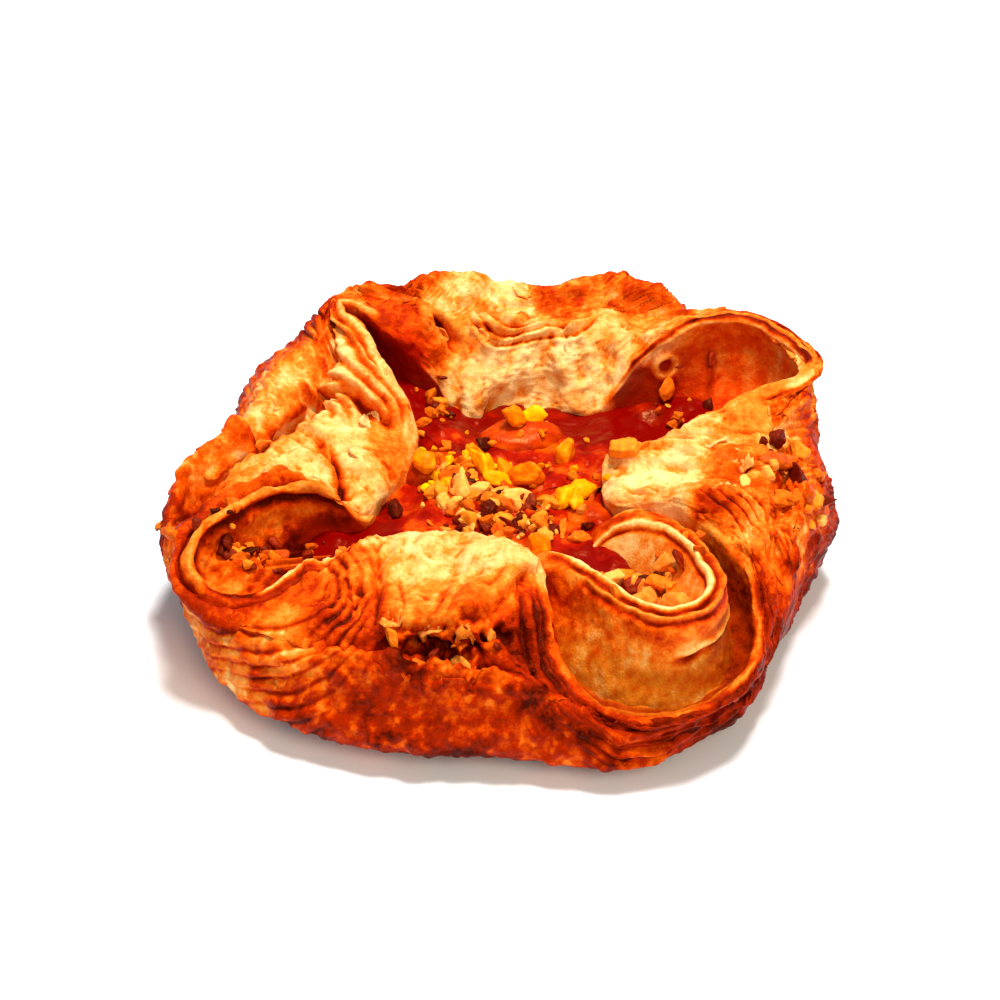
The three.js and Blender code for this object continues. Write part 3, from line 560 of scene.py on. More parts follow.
def fractal(points, size, octaves, seed=0):
    return sum(noise(points, np.asarray(size, float) / 2 ** i, seed + i) / 2 ** i for i in range(octaves))


def terraces(values, riser):
    """Stair steps one unit apart, each with a riser that takes a share of the tread."""
    whole = np.floor(values)
    return whole + smooth_step(values - whole, 1 - riser, 1)


def smooth_step(x, low, high):
    t = np.clip((x - low) / (high - low), 0, 1)
    return t * t * (3 - 2 * t)


def peak(values, at, width):
    """1 where the values are at a place, fading to 0 over about the width."""
    return np.exp(-((values - at) / width) ** 2)


def bell(points, middle, radius, power=2):
    """1 at the middle, fading to 0 over about the radius."""
    return np.exp(-(((points - middle) / radius) ** power).sum(-1))


def beside_route(points, route):
    """Distance from a route, distance in plan to its left, and the share along it."""
    route = np.asarray(route, float)
    lengths = np.linalg.norm(np.diff(route, axis=0), axis=1)
    starts = np.cumsum(lengths) - lengths
    nearest = np.full(points.shape[:-1], np.inf)
    left = np.zeros_like(nearest)
    share = np.zeros_like(nearest)
    for a, b, start, length in zip(route[:-1], route[1:], starts, lengths):
        d = b - a
        t = np.clip(((points - a) @ d) / (d @ d), 0, 1)
        away = points - a - t[..., None] * d
        distance = np.linalg.norm(away, axis=-1)
        closer = distance < nearest
        across = (d[0] * away[..., 1] - d[1] * away[..., 0]) / np.hypot(d[0], d[1])
        left = np.where(closer, across, left)
        share = np.where(closer, (start + t * length) / lengths.sum(), share)
        nearest = np.minimum(nearest, distance)
    return nearest, left, share


def distance_to_route(points, route):
    return beside_route(points, route)[0]


def layer_teeth(phase, riser=0.36, edge=0.16):
    """Layers one unit apart, from 0 to 1, that climb slowly and fall off faster, and their edges."""
    tooth = phase - np.floor(phase)
    climb = smooth_step(tooth, 0, 1 - riser)
    return climb * smooth_step(tooth, 1, 1 - riser), peak(np.minimum(tooth, 1 - tooth), 0, edge)


def grid_places(places, n_columns, controls):
    """Each point's place along its row, in controls, and its row's place between the key curves."""
    u = np.arange(n_columns) * controls / n_columns
    return np.tile(u, (len(places), 1)), np.repeat(places[:, None], n_columns, 1)


def distance_from_row(rows, row):
    """Distance over the surface from a row, positive on the side of the first row."""
    steps = np.linalg.norm(np.diff(rows, axis=0), axis=-1)
    run = np.concatenate([np.zeros((1, rows.shape[1])), np.cumsum(steps, 0)])
    return run[row] - run


def grid_normals(rows):
    d_column = np.roll(rows, -1, 1) - np.roll(rows, 1, 1)
    d_row = np.gradient(rows, axis=0)
    normals = np.cross(d_column, d_row)
    return normals / (np.linalg.norm(normals, axis=-1, keepdims=True) + 1e-12)


def blurred(values, passes):
    for _ in range(passes):
        values = (values + np.roll(values, 1, 1) + np.roll(values, -1, 1)) / 3
        padded = np.concatenate([values[:1], values, values[-1:]])
        values = (padded[:-2] + padded[1:-1] + padded[2:]) / 3
    return values


# Lines that run along the pocket rims: first and last control, distance out from the rim at each, half
# width, rise and tone, 0 for pale dough to 1 for the darkest crust. The dark tones of the grooves, the lines
# with a negative rise, are partly painted shade.
RIM_LINES = [
    (0.2, 2.6, 0.2, 0.2, 0.45, 0.3, 0.42),
    (2.0, 6.2, -2.8, -2.2, 0.35, 0.25, 0.3),
    (2.0, 6.4, -1.7, -1.4, 0.3, -0.35, 0.75),
    (2.0, 6.4, -0.6, -0.5, 0.4, 0.2, 0.42),
    (5.6, 8.8, 0.2, 0.2, 0.45, 0.35, 0.36),
    (0.3, 8.7, 1.5, 1.5, 0.5, -0.6, 1.0),
    (1.8, 8.7, 2.5, 2.3, 0.3, 0.3, 0.8),
    (0.3, 8.8, 3.1, 3.6, 0.8, -0.6, 1.05),
    (1.0, 8.8, 4.9, 5.0, 0.5, 0.35, 0.72),
    (0.6, 9.0, 6.0, 6.4, 0.4, -0.5, 0.9),
    (16.6, 22.0, -0.1, -0.1, 0.55, 0.3, 1.0),
    (16.8, 21.2, -1.25, -1.1, 0.35, 0.2, 0.22),
    (16.6, 21.6, 1.1, 1.1, 0.5, 0.3, 0.42),
    (13.2, 17.2, 0.2, 0.2, 0.8, 0.4, 0.4),
    (13.8, 17.4, -1.3, -1.3, 0.4, -0.3, 0.85),
    (14.6, 20.6, 2.4, 2.4, 0.5, -0.4, 0.85),
    (25.2, 29.0, 7.0, 7.4, 0.5, -0.7, 0.85),
    (24.6, 29.0, 8.6, 9.0, 0.8, 0.5, 0.3),
    (24.8, 28.6, 11.6, 12.0, 0.5, -0.5, 0.7),
    (26.5, 33.5, 0.3, 0.3, 0.6, 0.3, 0.16),
    (28.8, 33.0, 1.6, 1.6, 0.4, -0.5, 0.7),
    (36.2, 43.4, -1.7, -1.5, 1.0, -0.9, 1.12),
    (36.2, 41.8, 0.6, 0.5, 0.7, 0.5, 0.32),
    (41.4, 43.6, 0.4, 0.4, 0.8, -0.5, 0.95),
    (42.8, 46.4, 0.3, 0.3, 0.5, 0.4, 0.12),
    (43.0, 46.0, 1.5, 1.6, 0.5, -0.4, 0.8),
    # Painted shadow under the lower edge of the ring round the front left pocket
    (36.4, 43.0, 2.6, 2.8, 0.9, -2.0, 1.05),
    (36.4, 42.8, 4.6, 5.0, 1.0, 1.0, 0.6),
    (42.0, 45.5, 2.0, 2.6, 0.35, -0.4, 0.85),
]

# The same for the curl's rim. Its controls run from 0 at the near side of the mouth to 10 at the far side.
CURL_LINES = [
    (0.2, 5.4, 0.1, 0.1, 0.5, 0.22, 0.05),
    (0.5, 5.8, 1.4, 1.2, 0.38, -0.6, 0.98),
    (0.8, 5.8, 2.2, 2.0, 0.35, 0.4, 0.3),
    (1.2, 6.2, 3.1, 2.9, 0.45, -0.5, 0.9),
    (5.0, 11.0, 0.1, 0.1, 0.42, 0.25, 0.05),
    (4.8, 9.4, 1.1, 1.0, 0.4, -0.5, 0.92),
    (4.8, 9.6, 2.2, 2.0, 0.5, 0.3, 0.42),
    (4.6, 9.6, 3.4, 2.9, 0.4, -0.4, 0.85),
    (4.0, 10.2, 8.0, 4.0, 0.6, 0.5, 0.1),
    (3.9, 10.2, 9.4, 5.1, 0.5, -0.6, 0.9),
    (5.2, 10.6, -1.5, -1.4, 0.5, -0.4, 0.8),
]


def window(x, first, last, soft=0.5):
    """1 between first and last, fading to 0 within the soft distance inside each end."""
    return smooth_step(x, first, first + soft) * smooth_step(x, last, last - soft)


def draw_lines(lines, u, wavy, uneven, relief, tone):
    """Adds ridges and grooves that run along a rim to the relief and the tone. The grooves' dark tone is
    partly painted shade.
    """
    for first, last, start, stop, width, rise, line_tone in lines:
        at = start + (stop - start) * np.clip((u - first) / (last - first), 0, 1)
        mask = window(u, first, last) * peak(wavy, at, width) * uneven
        relief += rise * mask
        tone += (line_tone - tone) * np.clip(0.85 * mask, 0, 1)


# Dough. Tones run from 0 for pale dough to 1 for the darkest crust. These are the tones up the shell, key
# curve by key curve, on the lobes and on the lips round the pockets' ends, and up the curl. The shell
# darkens towards the wall's foot: partly browning, partly painted shade.
LOBE_TONES = (
    (0, 1, 2, 3, 4, 5, 6, 7, 8, 9, 10),
    (0.95, 0.88, 0.76, 0.66, 0.56, 0.5, 0.36, 0.2, 0.12, 0.45, 0.6),
)
LIP_TONES = (
    (0, 1, 2, 3, 4, 5, 6, 7, 8, 8.3, 9, 10),
    (0.9, 0.84, 0.7, 0.64, 0.62, 0.62, 0.56, 0.45, 0.35, 0.65, 0.6, 0.7),
)
CURL_TONES = ((0, 1, 2, 3, 3.6, 4, 4.5, 5, 6), (0.44, 0.36, 0.4, 0.5, 0.6, 0.2, 0.42, 0.36, 0.4))


def smooth_shell():
    """The shell before its relief: its points, their places on it and the parts that they belong to."""
    u, v = grid_places(SHELL_PLACES, SMOOTH_SHELL.shape[1], CONTROLS)
    rows = SMOOTH_SHELL
    for middle, radius, push in PUSHES:
        rows = rows + bell(rows, middle, radius)[..., None] * push
    from_rim = distance_from_row(rows, sum(SHELL_ROWS[:RIM]))
    lobe_step = (u - LIP_LAST) % PER_POCKET
    on_lobe = smooth_step(lobe_step, 0.2, 1.6) * smooth_step(lobe_step, 7.8, 6.4)
    top = smooth_step(v, CREST - 0.6, CREST + 0.5) * smooth_step(v, RIM + 0.25, RIM - 0.05)
    ribbed = window(u, 28.4, 35.2, 1) * smooth_step(from_rim, 20, 14)
    front = np.clip(smooth_step(u, 43.5, 45) + smooth_step(u, 3, 1.5), 0, 1)
    flaky = np.clip(0.55 + 0.9 * noise(rows, 9, 21), 0.05, 1)

    # The lobes' own grain runs from the crest to the tip
    lobe_line = np.broadcast_to(rows[sum(SHELL_ROWS[:MID_LOBE])][None], rows.shape)
    fabric = np.stack([lobe_line[..., 0], lobe_line[..., 1], v * 7], -1)
    sway = np.stack([noise(rows, 6, seed) for seed in (51, 52, 53)], -1)
    return SimpleNamespace(
        rows=rows, u=u, v=v, from_rim=from_rim, on_lobe=on_lobe, top=top, front=front,
        lobe_top=top * on_lobe * (1 - 0.75 * ribbed),
        inside=smooth_step(v, RIM, RIM + 0.25),
        wall=smooth_step(v, CREST + 0.15, CREST - 0.5),
        flaky=flaky * (1 - 0.8 * front) * (1 - window(u, 39.8, 46.2, 1)),
        grain=fabric + 1.6 * sway,
    )


def first_relief(s, wall_layers):
    """Blisters on the crust, layers that run round the wall, flakes and wrinkles on the lobes."""
    blisters = 1.2 * np.abs(noise(s.rows, 6.5, 1)) + 0.7 * np.abs(noise(s.rows, 3.2, 5))
    blisters = blisters + 0.3 * fractal(s.rows, 1.7, 2, 7) - 0.6
    calm = 1 - 0.6 * window(s.u, 2, 9.5, 1)
    wrinkles = fractal(s.rows, 5, 4, 9)
    flakes = (terraces(3.2 * fractal(s.grain, (5, 5, 11), 2, 3), 0.22)
              + 0.8 * terraces(3 * noise(s.grain, (2.4, 2.4, 6), 4), 0.3))
    creased = -0.84 * peak(noise(s.grain, (5, 5, 14), 24), 0, 0.07)
    creased *= np.clip(0.4 + noise(s.rows, 9, 25), 0, 1)
    streaks = 0.4 * noise(s.grain, (2.2, 2.2, 12), 13) + 0.9 * noise(s.grain, (6, 6, 24), 14)
    relief = s.wall * (0.75 * calm * blisters + 0.8 * s.flaky * (wall_layers - 0.5))
    relief += s.lobe_top * (0.34 * flakes + 0.5 * wrinkles + streaks + creased)
    relief += 1.3 * s.front * peak(s.v, SHOULDER, 0.9) * fractal(s.rows, (6, 6, 5), 2, 19)
    relief += 0.35 * s.inside * wrinkles + 0.16 * noise(s.rows, 1.3, 17)
    relief += 0.25 * (1 - s.wall) * (1 - s.on_lobe) * s.top * blisters
    for first, last, row, half_width, rise in SWELLINGS:
        relief += rise * window(s.u, first, last, 1.6) * peak(s.v, row, half_width)
    return relief


def first_tone(s, wall_edges):
    """Tones by place, pulled towards the baked patches with their painted shade and highlights, with
    mottling and speckles.
    """
    tone = np.interp(s.v, *LOBE_TONES) * s.on_lobe + np.interp(s.v, *LIP_TONES) * (1 - s.on_lobe)
    weights, pull = 0 * tone, 0 * tone
    for middle, radius, patch_tone in BAKED_AND_SHADED_PATCHES:
        near = bell(s.rows, middle, radius)
        weights += near
        pull += near * (patch_tone - tone)
    tone += pull / np.maximum(weights, 1)
    speckles = smooth_step(noise(s.rows, 1.1, 38), 0.35, 0.6) * smooth_step(noise(s.rows, 6, 39), 0, 0.4)
    pale_dots = smooth_step(noise(s.rows, 1.6, 40), 0.3, 0.6)
    on_wall = 0.24 * fractal(s.rows, 7, 3, 31) + 0.12 * noise(s.rows, 2.2, 35) - 0.2 * pale_dots
    on_folds = (0.1 * fractal(s.rows, 9, 2, 31) + 0.16 * noise(s.grain, (2.6, 2.6, 9), 36)
                + 0.12 * noise(s.rows, 2, 37) + 0.22 * speckles)
    return tone + s.wall * (on_wall + 0.3 * wall_edges * s.flaky) + (1 - s.wall) * on_folds


def add_layers(s, wavy, relief, tone):
    """Layers that follow a rim, and layers that curve round a place."""
    for first, last, near_edge, far_edge, pitch, depth, darkness in LAYER_ZONES:
        mask = window(s.u, first, last, 0.8) * window(s.from_rim, near_edge, far_edge, 2)
        layers, edges = layer_teeth(wavy / pitch + 0.4 * noise(s.rows, 9, first))
        relief += depth * mask * (layers - 0.5)
        tone += darkness * mask * edges
    for route, first, last, near_edge, far_edge, pitch, depth, darkness in ROUND_LAYERS:
        away = distance_to_route(s.rows, route) + 0.7 * noise(s.rows, 8, 86) + 0.3 * noise(s.rows, 3, 87)
        mask = window(s.u, first, last, 1.2) * window(away, near_edge, far_edge, 2) * (1 - s.inside)
        mask = mask * np.clip(0.7 + 0.6 * noise(s.rows, 7, 88), 0.2, 1)
        layers, edges = layer_teeth(away / pitch)
        relief += depth * mask * (layers - 0.5)
        tone += darkness * mask * edges


def add_tears(s, relief, tone):
    """Torn places, painted dark inside as shade, with paler strands across them, and creases between folds,
    darkened with painted shade.
    """
    for route, width, depth in GASHES:
        away = distance_to_route(s.rows, route) + 1.1 * noise(s.rows, 3.4, 81) + 0.6 * noise(s.rows, 1.6, 82)
        mask = smooth_step(away, width + 0.8, width - 0.4)
        strands = smooth_step(noise(s.rows, (1.1, 4, 4), 83), 0.1, 0.45)
        relief -= depth * mask * (1 - 0.6 * strands)
        tone += (1.1 - 0.5 * strands - tone) * mask
    for route, width, depth, crease_tone in CREASES:
        mask = peak(distance_to_route(s.rows, route), 0, width)
        relief -= depth * mask
        tone += (crease_tone - tone) * 0.8 * mask ** 2


def add_overlaps(s, relief, tone):
    """Steps where a fold lies over its neighbour, shaded under the edge and pale on it."""
    for route, rise, reach, ragged in OVERLAPS:
        distance, left, share = beside_route(s.rows, route)
        left = left + ragged * (0.8 * noise(s.rows, 3.4, 71) + 0.4 * noise(s.rows, 1.5, 72))
        upper = smooth_step(left, -0.3, 0.4)
        over, under = window(share, 0, 1, 0.2) * upper, window(share, 0, 1, 0.2) * (1 - upper)
        relief += rise * (over * peak(distance, 0, reach) - 0.5 * under * peak(distance, 0, 1.6))
        tone += (0.85 - tone) * 0.7 * under * peak(distance, 0, 1.1)
        tone -= 0.12 * over * peak(distance, 0, 0.9)


def jam_stain(s, blister_rim, blister_heart):
    def strongest(stains):
        return np.max([strength * bell(s.rows, middle, radius, 4) for middle, radius, strength in stains], 0)

    stain = np.maximum(s.inside * strongest(JAM_STAINS), strongest(JAM_SMEARS))
    return np.maximum(stain * (1 - blister_rim), 1.3 * blister_heart)


def shell_fields():
    """The shell's points with their relief, and their tone, jam stain and golden tint, a darker copy of the
    crust that is partly painted shade.
    """
    s = smooth_shell()
    drift = 1.3 * noise(s.rows, 14, 11) + 0.35 * noise(s.rows, 4, 12)
    wall_layers, wall_edges = layer_teeth(s.from_rim / 2.2 + drift)
    relief = first_relief(s, wall_layers)
    tone = first_tone(s, wall_edges)

    wavy = s.from_rim + 0.5 * noise(s.rows, 7, 15) + 0.3 * noise(s.rows, 2.5, 16)
    add_layers(s, wavy, relief, tone)
    height = sum(height * bell(s.rows, middle, radius) for middle, radius, height in ROUGH_PLACES)
    relief += height * (0.8 * np.abs(noise(s.rows, 2.6, 91)) + 0.6 * noise(s.rows, 1.3, 92))
    draw_lines(RIM_LINES, s.u, wavy, 1 + 0.7 * noise(s.rows, 4.5, 18), relief, tone)
    add_tears(s, relief, tone)
    add_overlaps(s, relief, tone)

    from_blister = np.linalg.norm(s.rows - BLISTER_MIDDLE, axis=-1)
    blister_rim = peak(from_blister, BLISTER_RADIUS, BLISTER_RIM)
    blister_heart = 1 - smooth_step(from_blister, 0.4 * BLISTER_RADIUS, 0.9 * BLISTER_RADIUS)
    relief = relief * smooth_step(s.rows[..., 2], 0.3, 3) + 0.8 * blister_rim - 0.3 * blister_heart
    points = s.rows + grid_normals(s.rows) * relief[..., None]

    # Raised places are baked darker, and hollows on the lobes' tops are darkened too: painted shade.
    convex = relief - blurred(relief, 10)
    tone += 0.35 * convex * s.wall
    tone += s.lobe_top * (0.12 * np.maximum(convex, 0) + 0.55 * np.maximum(-convex - 0.1, 0))
    return points, {
        "tone": tone + (0.3 - tone) * blister_rim,
        "stain": jam_stain(s, blister_rim, blister_heart),
        "golden": s.inside * window(s.u, 1, 10.5, 2),
    }


def ring_faces(n_rows, n_columns):
    """Quads between the rows, as rows of vertex numbers."""
    k = np.arange(n_columns)
    start = np.arange(n_rows - 1)[:, None] * n_columns
    a, b = start + k, start + (k + 1) % n_columns
    return np.stack([a, b, b + n_columns, a + n_columns], -1).reshape(-1, 4)


def cap_faces(first, n_columns, centre, reverse):
    k = np.arange(n_columns)
    a, b = first + k, first + (k + 1) % n_columns
    middle = np.full(n_columns, centre)
    return np.stack([middle, b, a] if reverse else [middle, a, b], 1)


def new_mesh(name, points, faces, material, attributes):
    """A smooth shaded object from points in mm. faces is a list of arrays of quads or triangles."""
    mesh = bpy.data.meshes.new(name)
    sizes = np.concatenate([np.full(len(f), f.shape[1]) for f in faces])
    loops = np.concatenate([f.ravel() for f in faces])
    mesh.vertices.add(len(points))
    mesh.vertices.foreach_set("co", ((points + SHIFT) * MM).astype(np.float32).ravel())
    mesh.loops.add(len(loops))
    mesh.loops.foreach_set("vertex_index", loops.astype(np.int32))
    mesh.polygons.add(len(sizes))
    mesh.polygons.foreach_set("loop_start", (np.cumsum(sizes) - sizes).astype(np.int32))
    mesh.polygons.foreach_set("use_smooth", np.ones(len(sizes), bool))
    mesh.update(calc_edges=True)
    mesh.validate()
    for key, values in attributes.items():
        attribute = mesh.attributes.new(key, "FLOAT", "POINT")
        attribute.data.foreach_set("value", values.astype(np.float32).ravel())
    mesh.materials.append(material)
    piece = bpy.data.objects.new(name, mesh)
    bpy.context.collection.objects.link(piece)
    return piece


# Materials
def linear(*srgb):
    """Linear colour from 0 to 255 display values."""
    values = [c / 255 for c in srgb]
    return (*[c / 12.92 if c <= 0.04045 else ((c + 0.055) / 1.055) ** 2.4 for c in values], 1)


class Nodes:
    """Adds and links the nodes of one material."""

    def __init__(self, name):
        self.material = bpy.data.materials.new(name)
        self.material.use_nodes = True
        self.tree = self.material.node_tree
        self.shader = self.tree.nodes["Principled BSDF"]
        self.coordinates = self.tree.nodes.new("ShaderNodeTexCoord").outputs["Object"]

    def link(self, source, target):
        self.tree.links.new(source, target)

    def attribute(self, name):
        node = self.tree.nodes.new("ShaderNodeAttribute")
        node.attribute_name = name
        return node.outputs["Fac"]

    def noise(self, size, detail=3, roughness=0.6):
        node = self.tree.nodes.new("ShaderNodeTexNoise")
        node.inputs["Scale"].default_value = 1 / (size * MM)
        node.inputs["Detail"].default_value = detail
        node.inputs["Roughness"].default_value = roughness
        self.link(self.coordinates, node.inputs["Vector"])
        return node.outputs["Fac"]

    def math(self, operation, a, b, c=None):
        node = self.tree.nodes.new("ShaderNodeMath")
        node.operation = operation
        for socket, value in zip(node.inputs, (a, b, c)):
            if isinstance(value, (int, float)):
                socket.default_value = value
            elif value is not None:
                self.link(value, socket)
        return node.outputs[0]

    def ramp(self, value, stops):
        node = self.tree.nodes.new("ShaderNodeValToRGB")
        elements = node.color_ramp.elements
        while len(elements) < len(stops):
            elements.new(0.5)
        for element, (place, colour) in zip(elements, stops):
            element.position = place
            element.color = colour
        self.link(value, node.inputs["Fac"])
        return node.outputs["Color"]

    def mix(self, factor, a, b):
        node = self.tree.nodes.new("ShaderNodeMix")
        node.data_type = "RGBA"
        for socket, value in zip((node.inputs[0], node.inputs[6], node.inputs[7]), (factor, a, b)):
            if isinstance(value, (int, float, tuple)):
                socket.default_value = value
            else:
                self.link(value, socket)
        return node.outputs[2]

    def bump(self, height, distance, strength=1.0):
        node = self.tree.nodes.new("ShaderNodeBump")
        node.inputs["Distance"].default_value = distance * MM
        node.inputs["Strength"].default_value = strength
        self.link(height, node.inputs["Height"])
        self.link(node.outputs["Normal"], self.shader.inputs["Normal"])

    def fixed(self, **values):
        for name, value in values.items():
            self.shader.inputs[name.replace("_", " ")].default_value = value


def dough_material():
    nodes = Nodes("baked_dough")
    tone = nodes.attribute("tone")
    mottle = nodes.noise(3.2, 4, 0.65)
    fine = nodes.noise(0.8, 4, 0.7)
    value = nodes.math("MULTIPLY_ADD", nodes.math("SUBTRACT", mottle, 0.5), 0.3, tone)
    value = nodes.math("MULTIPLY_ADD", nodes.math("SUBTRACT", fine, 0.5), 0.4, value)
    crust = nodes.ramp(value, [
        (0.0, linear(238, 196, 128)),
        (0.16, linear(234, 172, 94)),
        (0.34, linear(226, 124, 34)),
        (0.52, linear(212, 78, 3)),
        (0.72, linear(162, 32, 0)),
        (1.0, linear(66, 4, 0)),
    ])
    # A darker, browner copy of the crust's colours for the inside of the front right pocket and the curl:
    # partly painted shade.
    golden = nodes.ramp(value, [
        (0.0, linear(206, 144, 56)),
        (0.3, linear(166, 84, 6)),
        (0.5, linear(148, 60, 2)),
        (0.75, linear(132, 34, 0)),
        (1.0, linear(66, 4, 0)),
    ])
    crust = nodes.mix(nodes.math("MULTIPLY", nodes.attribute("golden"), 0.8), crust, golden)
    stain = nodes.math("MULTIPLY_ADD", nodes.math("SUBTRACT", mottle, 0.5), 0.8, nodes.attribute("stain"))
    # Strong stains turn a darker crimson: jam, partly painted shade in the narrow pockets.
    soaked = nodes.ramp(stain, [(0.7, linear(186, 32, 1)), (1.0, linear(132, 4, 0))])
    colour = nodes.mix(nodes.math("MINIMUM", nodes.math("MAXIMUM", stain, 0.0), 0.95), crust, soaked)
    nodes.link(colour, nodes.shader.inputs["Base Color"])
    rough = nodes.math("MULTIPLY_ADD", value, -0.3, 0.66)
    nodes.link(nodes.math("MAXIMUM", rough, 0.34), nodes.shader.inputs["Roughness"])
    nodes.bump(nodes.math("MULTIPLY_ADD", fine, 1.0, nodes.noise(0.3, 2)), 0.2, 0.7)
    nodes.fixed(IOR=1.22, Specular_IOR_Level=0.4, Specular_Tint=linear(255, 150, 60))
    return nodes.material


def mottled_material(name, field, shares, grain, stops, bump, **values):
    """Base colour from a point field and noise, each with its share, and a bump from finer noise."""
    nodes = Nodes(name)
    mottle = nodes.math("MULTIPLY", nodes.noise(*grain), shares[1])
    value = nodes.math("MULTIPLY_ADD", nodes.attribute(field), shares[0], mottle)
    colours = [(place, linear(*colour)) for place, colour in stops]
    nodes.link(nodes.ramp(value, colours), nodes.shader.inputs["Base Color"])
    size, depth, strength = bump
    nodes.bump(nodes.noise(size), depth, strength)
    nodes.fixed(**values)
    return nodes.material


def jam_material():
    # The field darkens the jam towards the pockets: painted shade.
    stops = [(0.34, (112, 1, 0)), (0.5, (156, 18, 0)), (0.68, (204, 78, 2))]
    return mottled_material(
        "apricot_jam", "pocket_shade", (-0.25, 1.0), (5, 3), stops, (1.6, 0.25, 0.5),
        Roughness=0.28, IOR=1.3, Specular_IOR_Level=0.35, Specular_Tint=linear(255, 130, 50))


def fruit_material():
    # The field darkens the fruit towards the pockets: painted shade.
    stops = [(0.1, (104, 4, 0)), (0.3, (138, 14, 0)), (0.55, (176, 48, 0)), (0.75, (200, 84, 2))]
    return mottled_material(
        "apricot_flesh", "pocket_shade", (-0.3, 1.0), (3, 4), stops, (0.9, 0.2, 0.5),
        Roughness=0.28, IOR=1.3, Specular_IOR_Level=0.5, Specular_Tint=linear(255, 170, 90))


def nut_material(name, dark, middle, pale, roughness):
    stops = [(0.25, dark), (0.55, middle), (0.9, pale)]
    return mottled_material(
        name, "shade", (1.0, 0.6), (1.2, 3), stops, (0.35, 0.12, 0.6),
        Roughness=roughness, Specular_IOR_Level=0.2, Specular_Tint=linear(255, 190, 110))


def floor_material():
    nodes = Nodes("pale_floor")
    colour = nodes.ramp(nodes.noise(60, 2), [(0.3, (0.86, 0.86, 0.86, 1)), (0.7, (0.9, 0.9, 0.9, 1))])
    nodes.link(colour, nodes.shader.inputs["Base Color"])
    nodes.fixed(Roughness=0.9)
    return nodes.material


# Pieces of the dough
def rows_towards(ring, middle, count):
    """Rows that close in from a ring towards a middle point."""
    shares = np.linspace(0, 1, count + 2)[1:-1, None, None]
    return ring[None] * (1 - shares) + middle * shares


def turned(x, y, angle):
    return x * math.cos(angle) - y * math.sin(angle), x * math.sin(angle) + y * math.cos(angle)


def closed_piece(name, rows, bottom, top, material, attributes):
    """A closed body from rows of points with a centre point at each end."""
    n_rows, n_columns = rows.shape[:2]
    points = np.vstack([rows.reshape(-1, 3), bottom, top])
    count = n_rows * n_columns
    faces = [
        ring_faces(n_rows, n_columns),
        cap_faces(0, n_columns, count, True),
        cap_faces(count - n_columns, n_columns, count + 1, False),
    ]
    ends = {key: np.append(values.ravel(), [values[0].mean(), values[-1].mean()])
            for key, values in attributes.items()}
    return new_mesh(name, points, faces, material, ends)


def make_shell(material, points, fields):
    middle = np.array(FLOOR_CENTRE)
    floor = rows_towards(points[-1], middle, 8)
    fields = {key: np.concatenate([values, np.repeat(values[-1:], len(floor), 0)])
              for key, values in fields.items()}
    return closed_piece("dough", np.concatenate([points, floor]), BASE_CENTRE, middle, material, fields)


def make_curl(material):
    rows, places, middle = curl_rows()
    inner = rows_towards(rows[-1], middle, 10)
    rows = np.concatenate([rows, inner])
    u, v = grid_places(np.append(places, np.full(len(inner), places[-1])), rows.shape[1], PER_POCKET)
    from_rim = distance_from_row(rows, sum(CURL_ROWS[:CURL_RIM]))

    outside = smooth_step(v, CURL_RIM, CURL_RIM - 0.6)
    # The curl's left outside is painted dark: painted shade in the valley against the ring.
    left = window(u, -1, 2.2, 1.2) * outside * smooth_step(from_rim, 2, 6)
    right = window(u, 4.5, 11, 1) * outside * smooth_step(from_rim, 4, 6)
    far_wall = window(u, 6.5, 12, 3) * smooth_step(v, CURL_RIM + 0.1, CURL_RIM + 0.6)
    far_tone = 0.3 - 0.2 * smooth_step(u, 8, 10)
    tone = np.interp(v, *CURL_TONES)
    tone += 0.8 * left * (0.8 - tone) + 0.8 * right * (0.62 - tone) + 0.9 * far_wall * (far_tone - tone)
    tone += 0.16 * fractal(rows, 5, 3, 43) + 0.14 * noise(rows, 1.8, 44)
    # Golden tint on the bowl, the right side and the far wall: partly painted shade.
    golden = np.clip(outside * smooth_step(from_rim, 8, 12) + right + 0.5 * far_wall, 0, 1)

    relief = (0.4 * fractal(rows, 6, 3, 41) + 0.3 * np.abs(noise(rows, 2.2, 42))) * smooth_step(v, 6, 3)
    wavy = from_rim + 0.4 * noise(rows, 6, 45) + 0.25 * noise(rows, 2.2, 46)
    draw_lines(CURL_LINES, u, wavy, 1 + 0.7 * noise(rows, 4, 47), relief, tone)
    points = rows + grid_normals(rows) * relief[..., None]
    mouth, reach, along, _ = pocket_frame(CURL)
    bottom = (*(mouth + along * reach * 0.5), CURL["bottom"])
    fields = {"tone": tone, "stain": 0 * tone, "golden": golden}
    return closed_piece("dough_curl", points, bottom, middle, material, fields)


# Thin flakes of crust. Those that show most: control and row on the shell, half sizes, lift and tone
BOLD_FLAKES = [
    (24.4, 6.6, 2.0, 2.4, 0.7, 0.3), (22.7, 6.9, 1.8, 2.0, 0.6, 0.24), (25.2, 6.9, 2.4, 2.6, 0.8, 0.36),
    (35.7, 4.6, 2.0, 2.2, 1.5, 0.4), (38.0, 2.6, 1.6, 1.3, 1.3, 0.45), (46.4, 6.3, 2.4, 1.5, 1.0, 0.3),
    (47.3, 6.2, 2.2, 1.4, 1.1, 0.3), (0.2, 6.3, 2.0, 1.4, 1.0, 0.35), (34.2, 7.1, 2.0, 2.0, 0.8, 0.12),
    (35.0, 7.3, 1.8, 2.2, 0.8, 0.1), (10.6, 6.7, 2.4, 2.2, 0.8, 0.2), (11.6, 6.4, 2.2, 2.4, 0.9, 0.25),
    (12.6, 6.9, 2.0, 2.2, 0.8, 0.15),
]

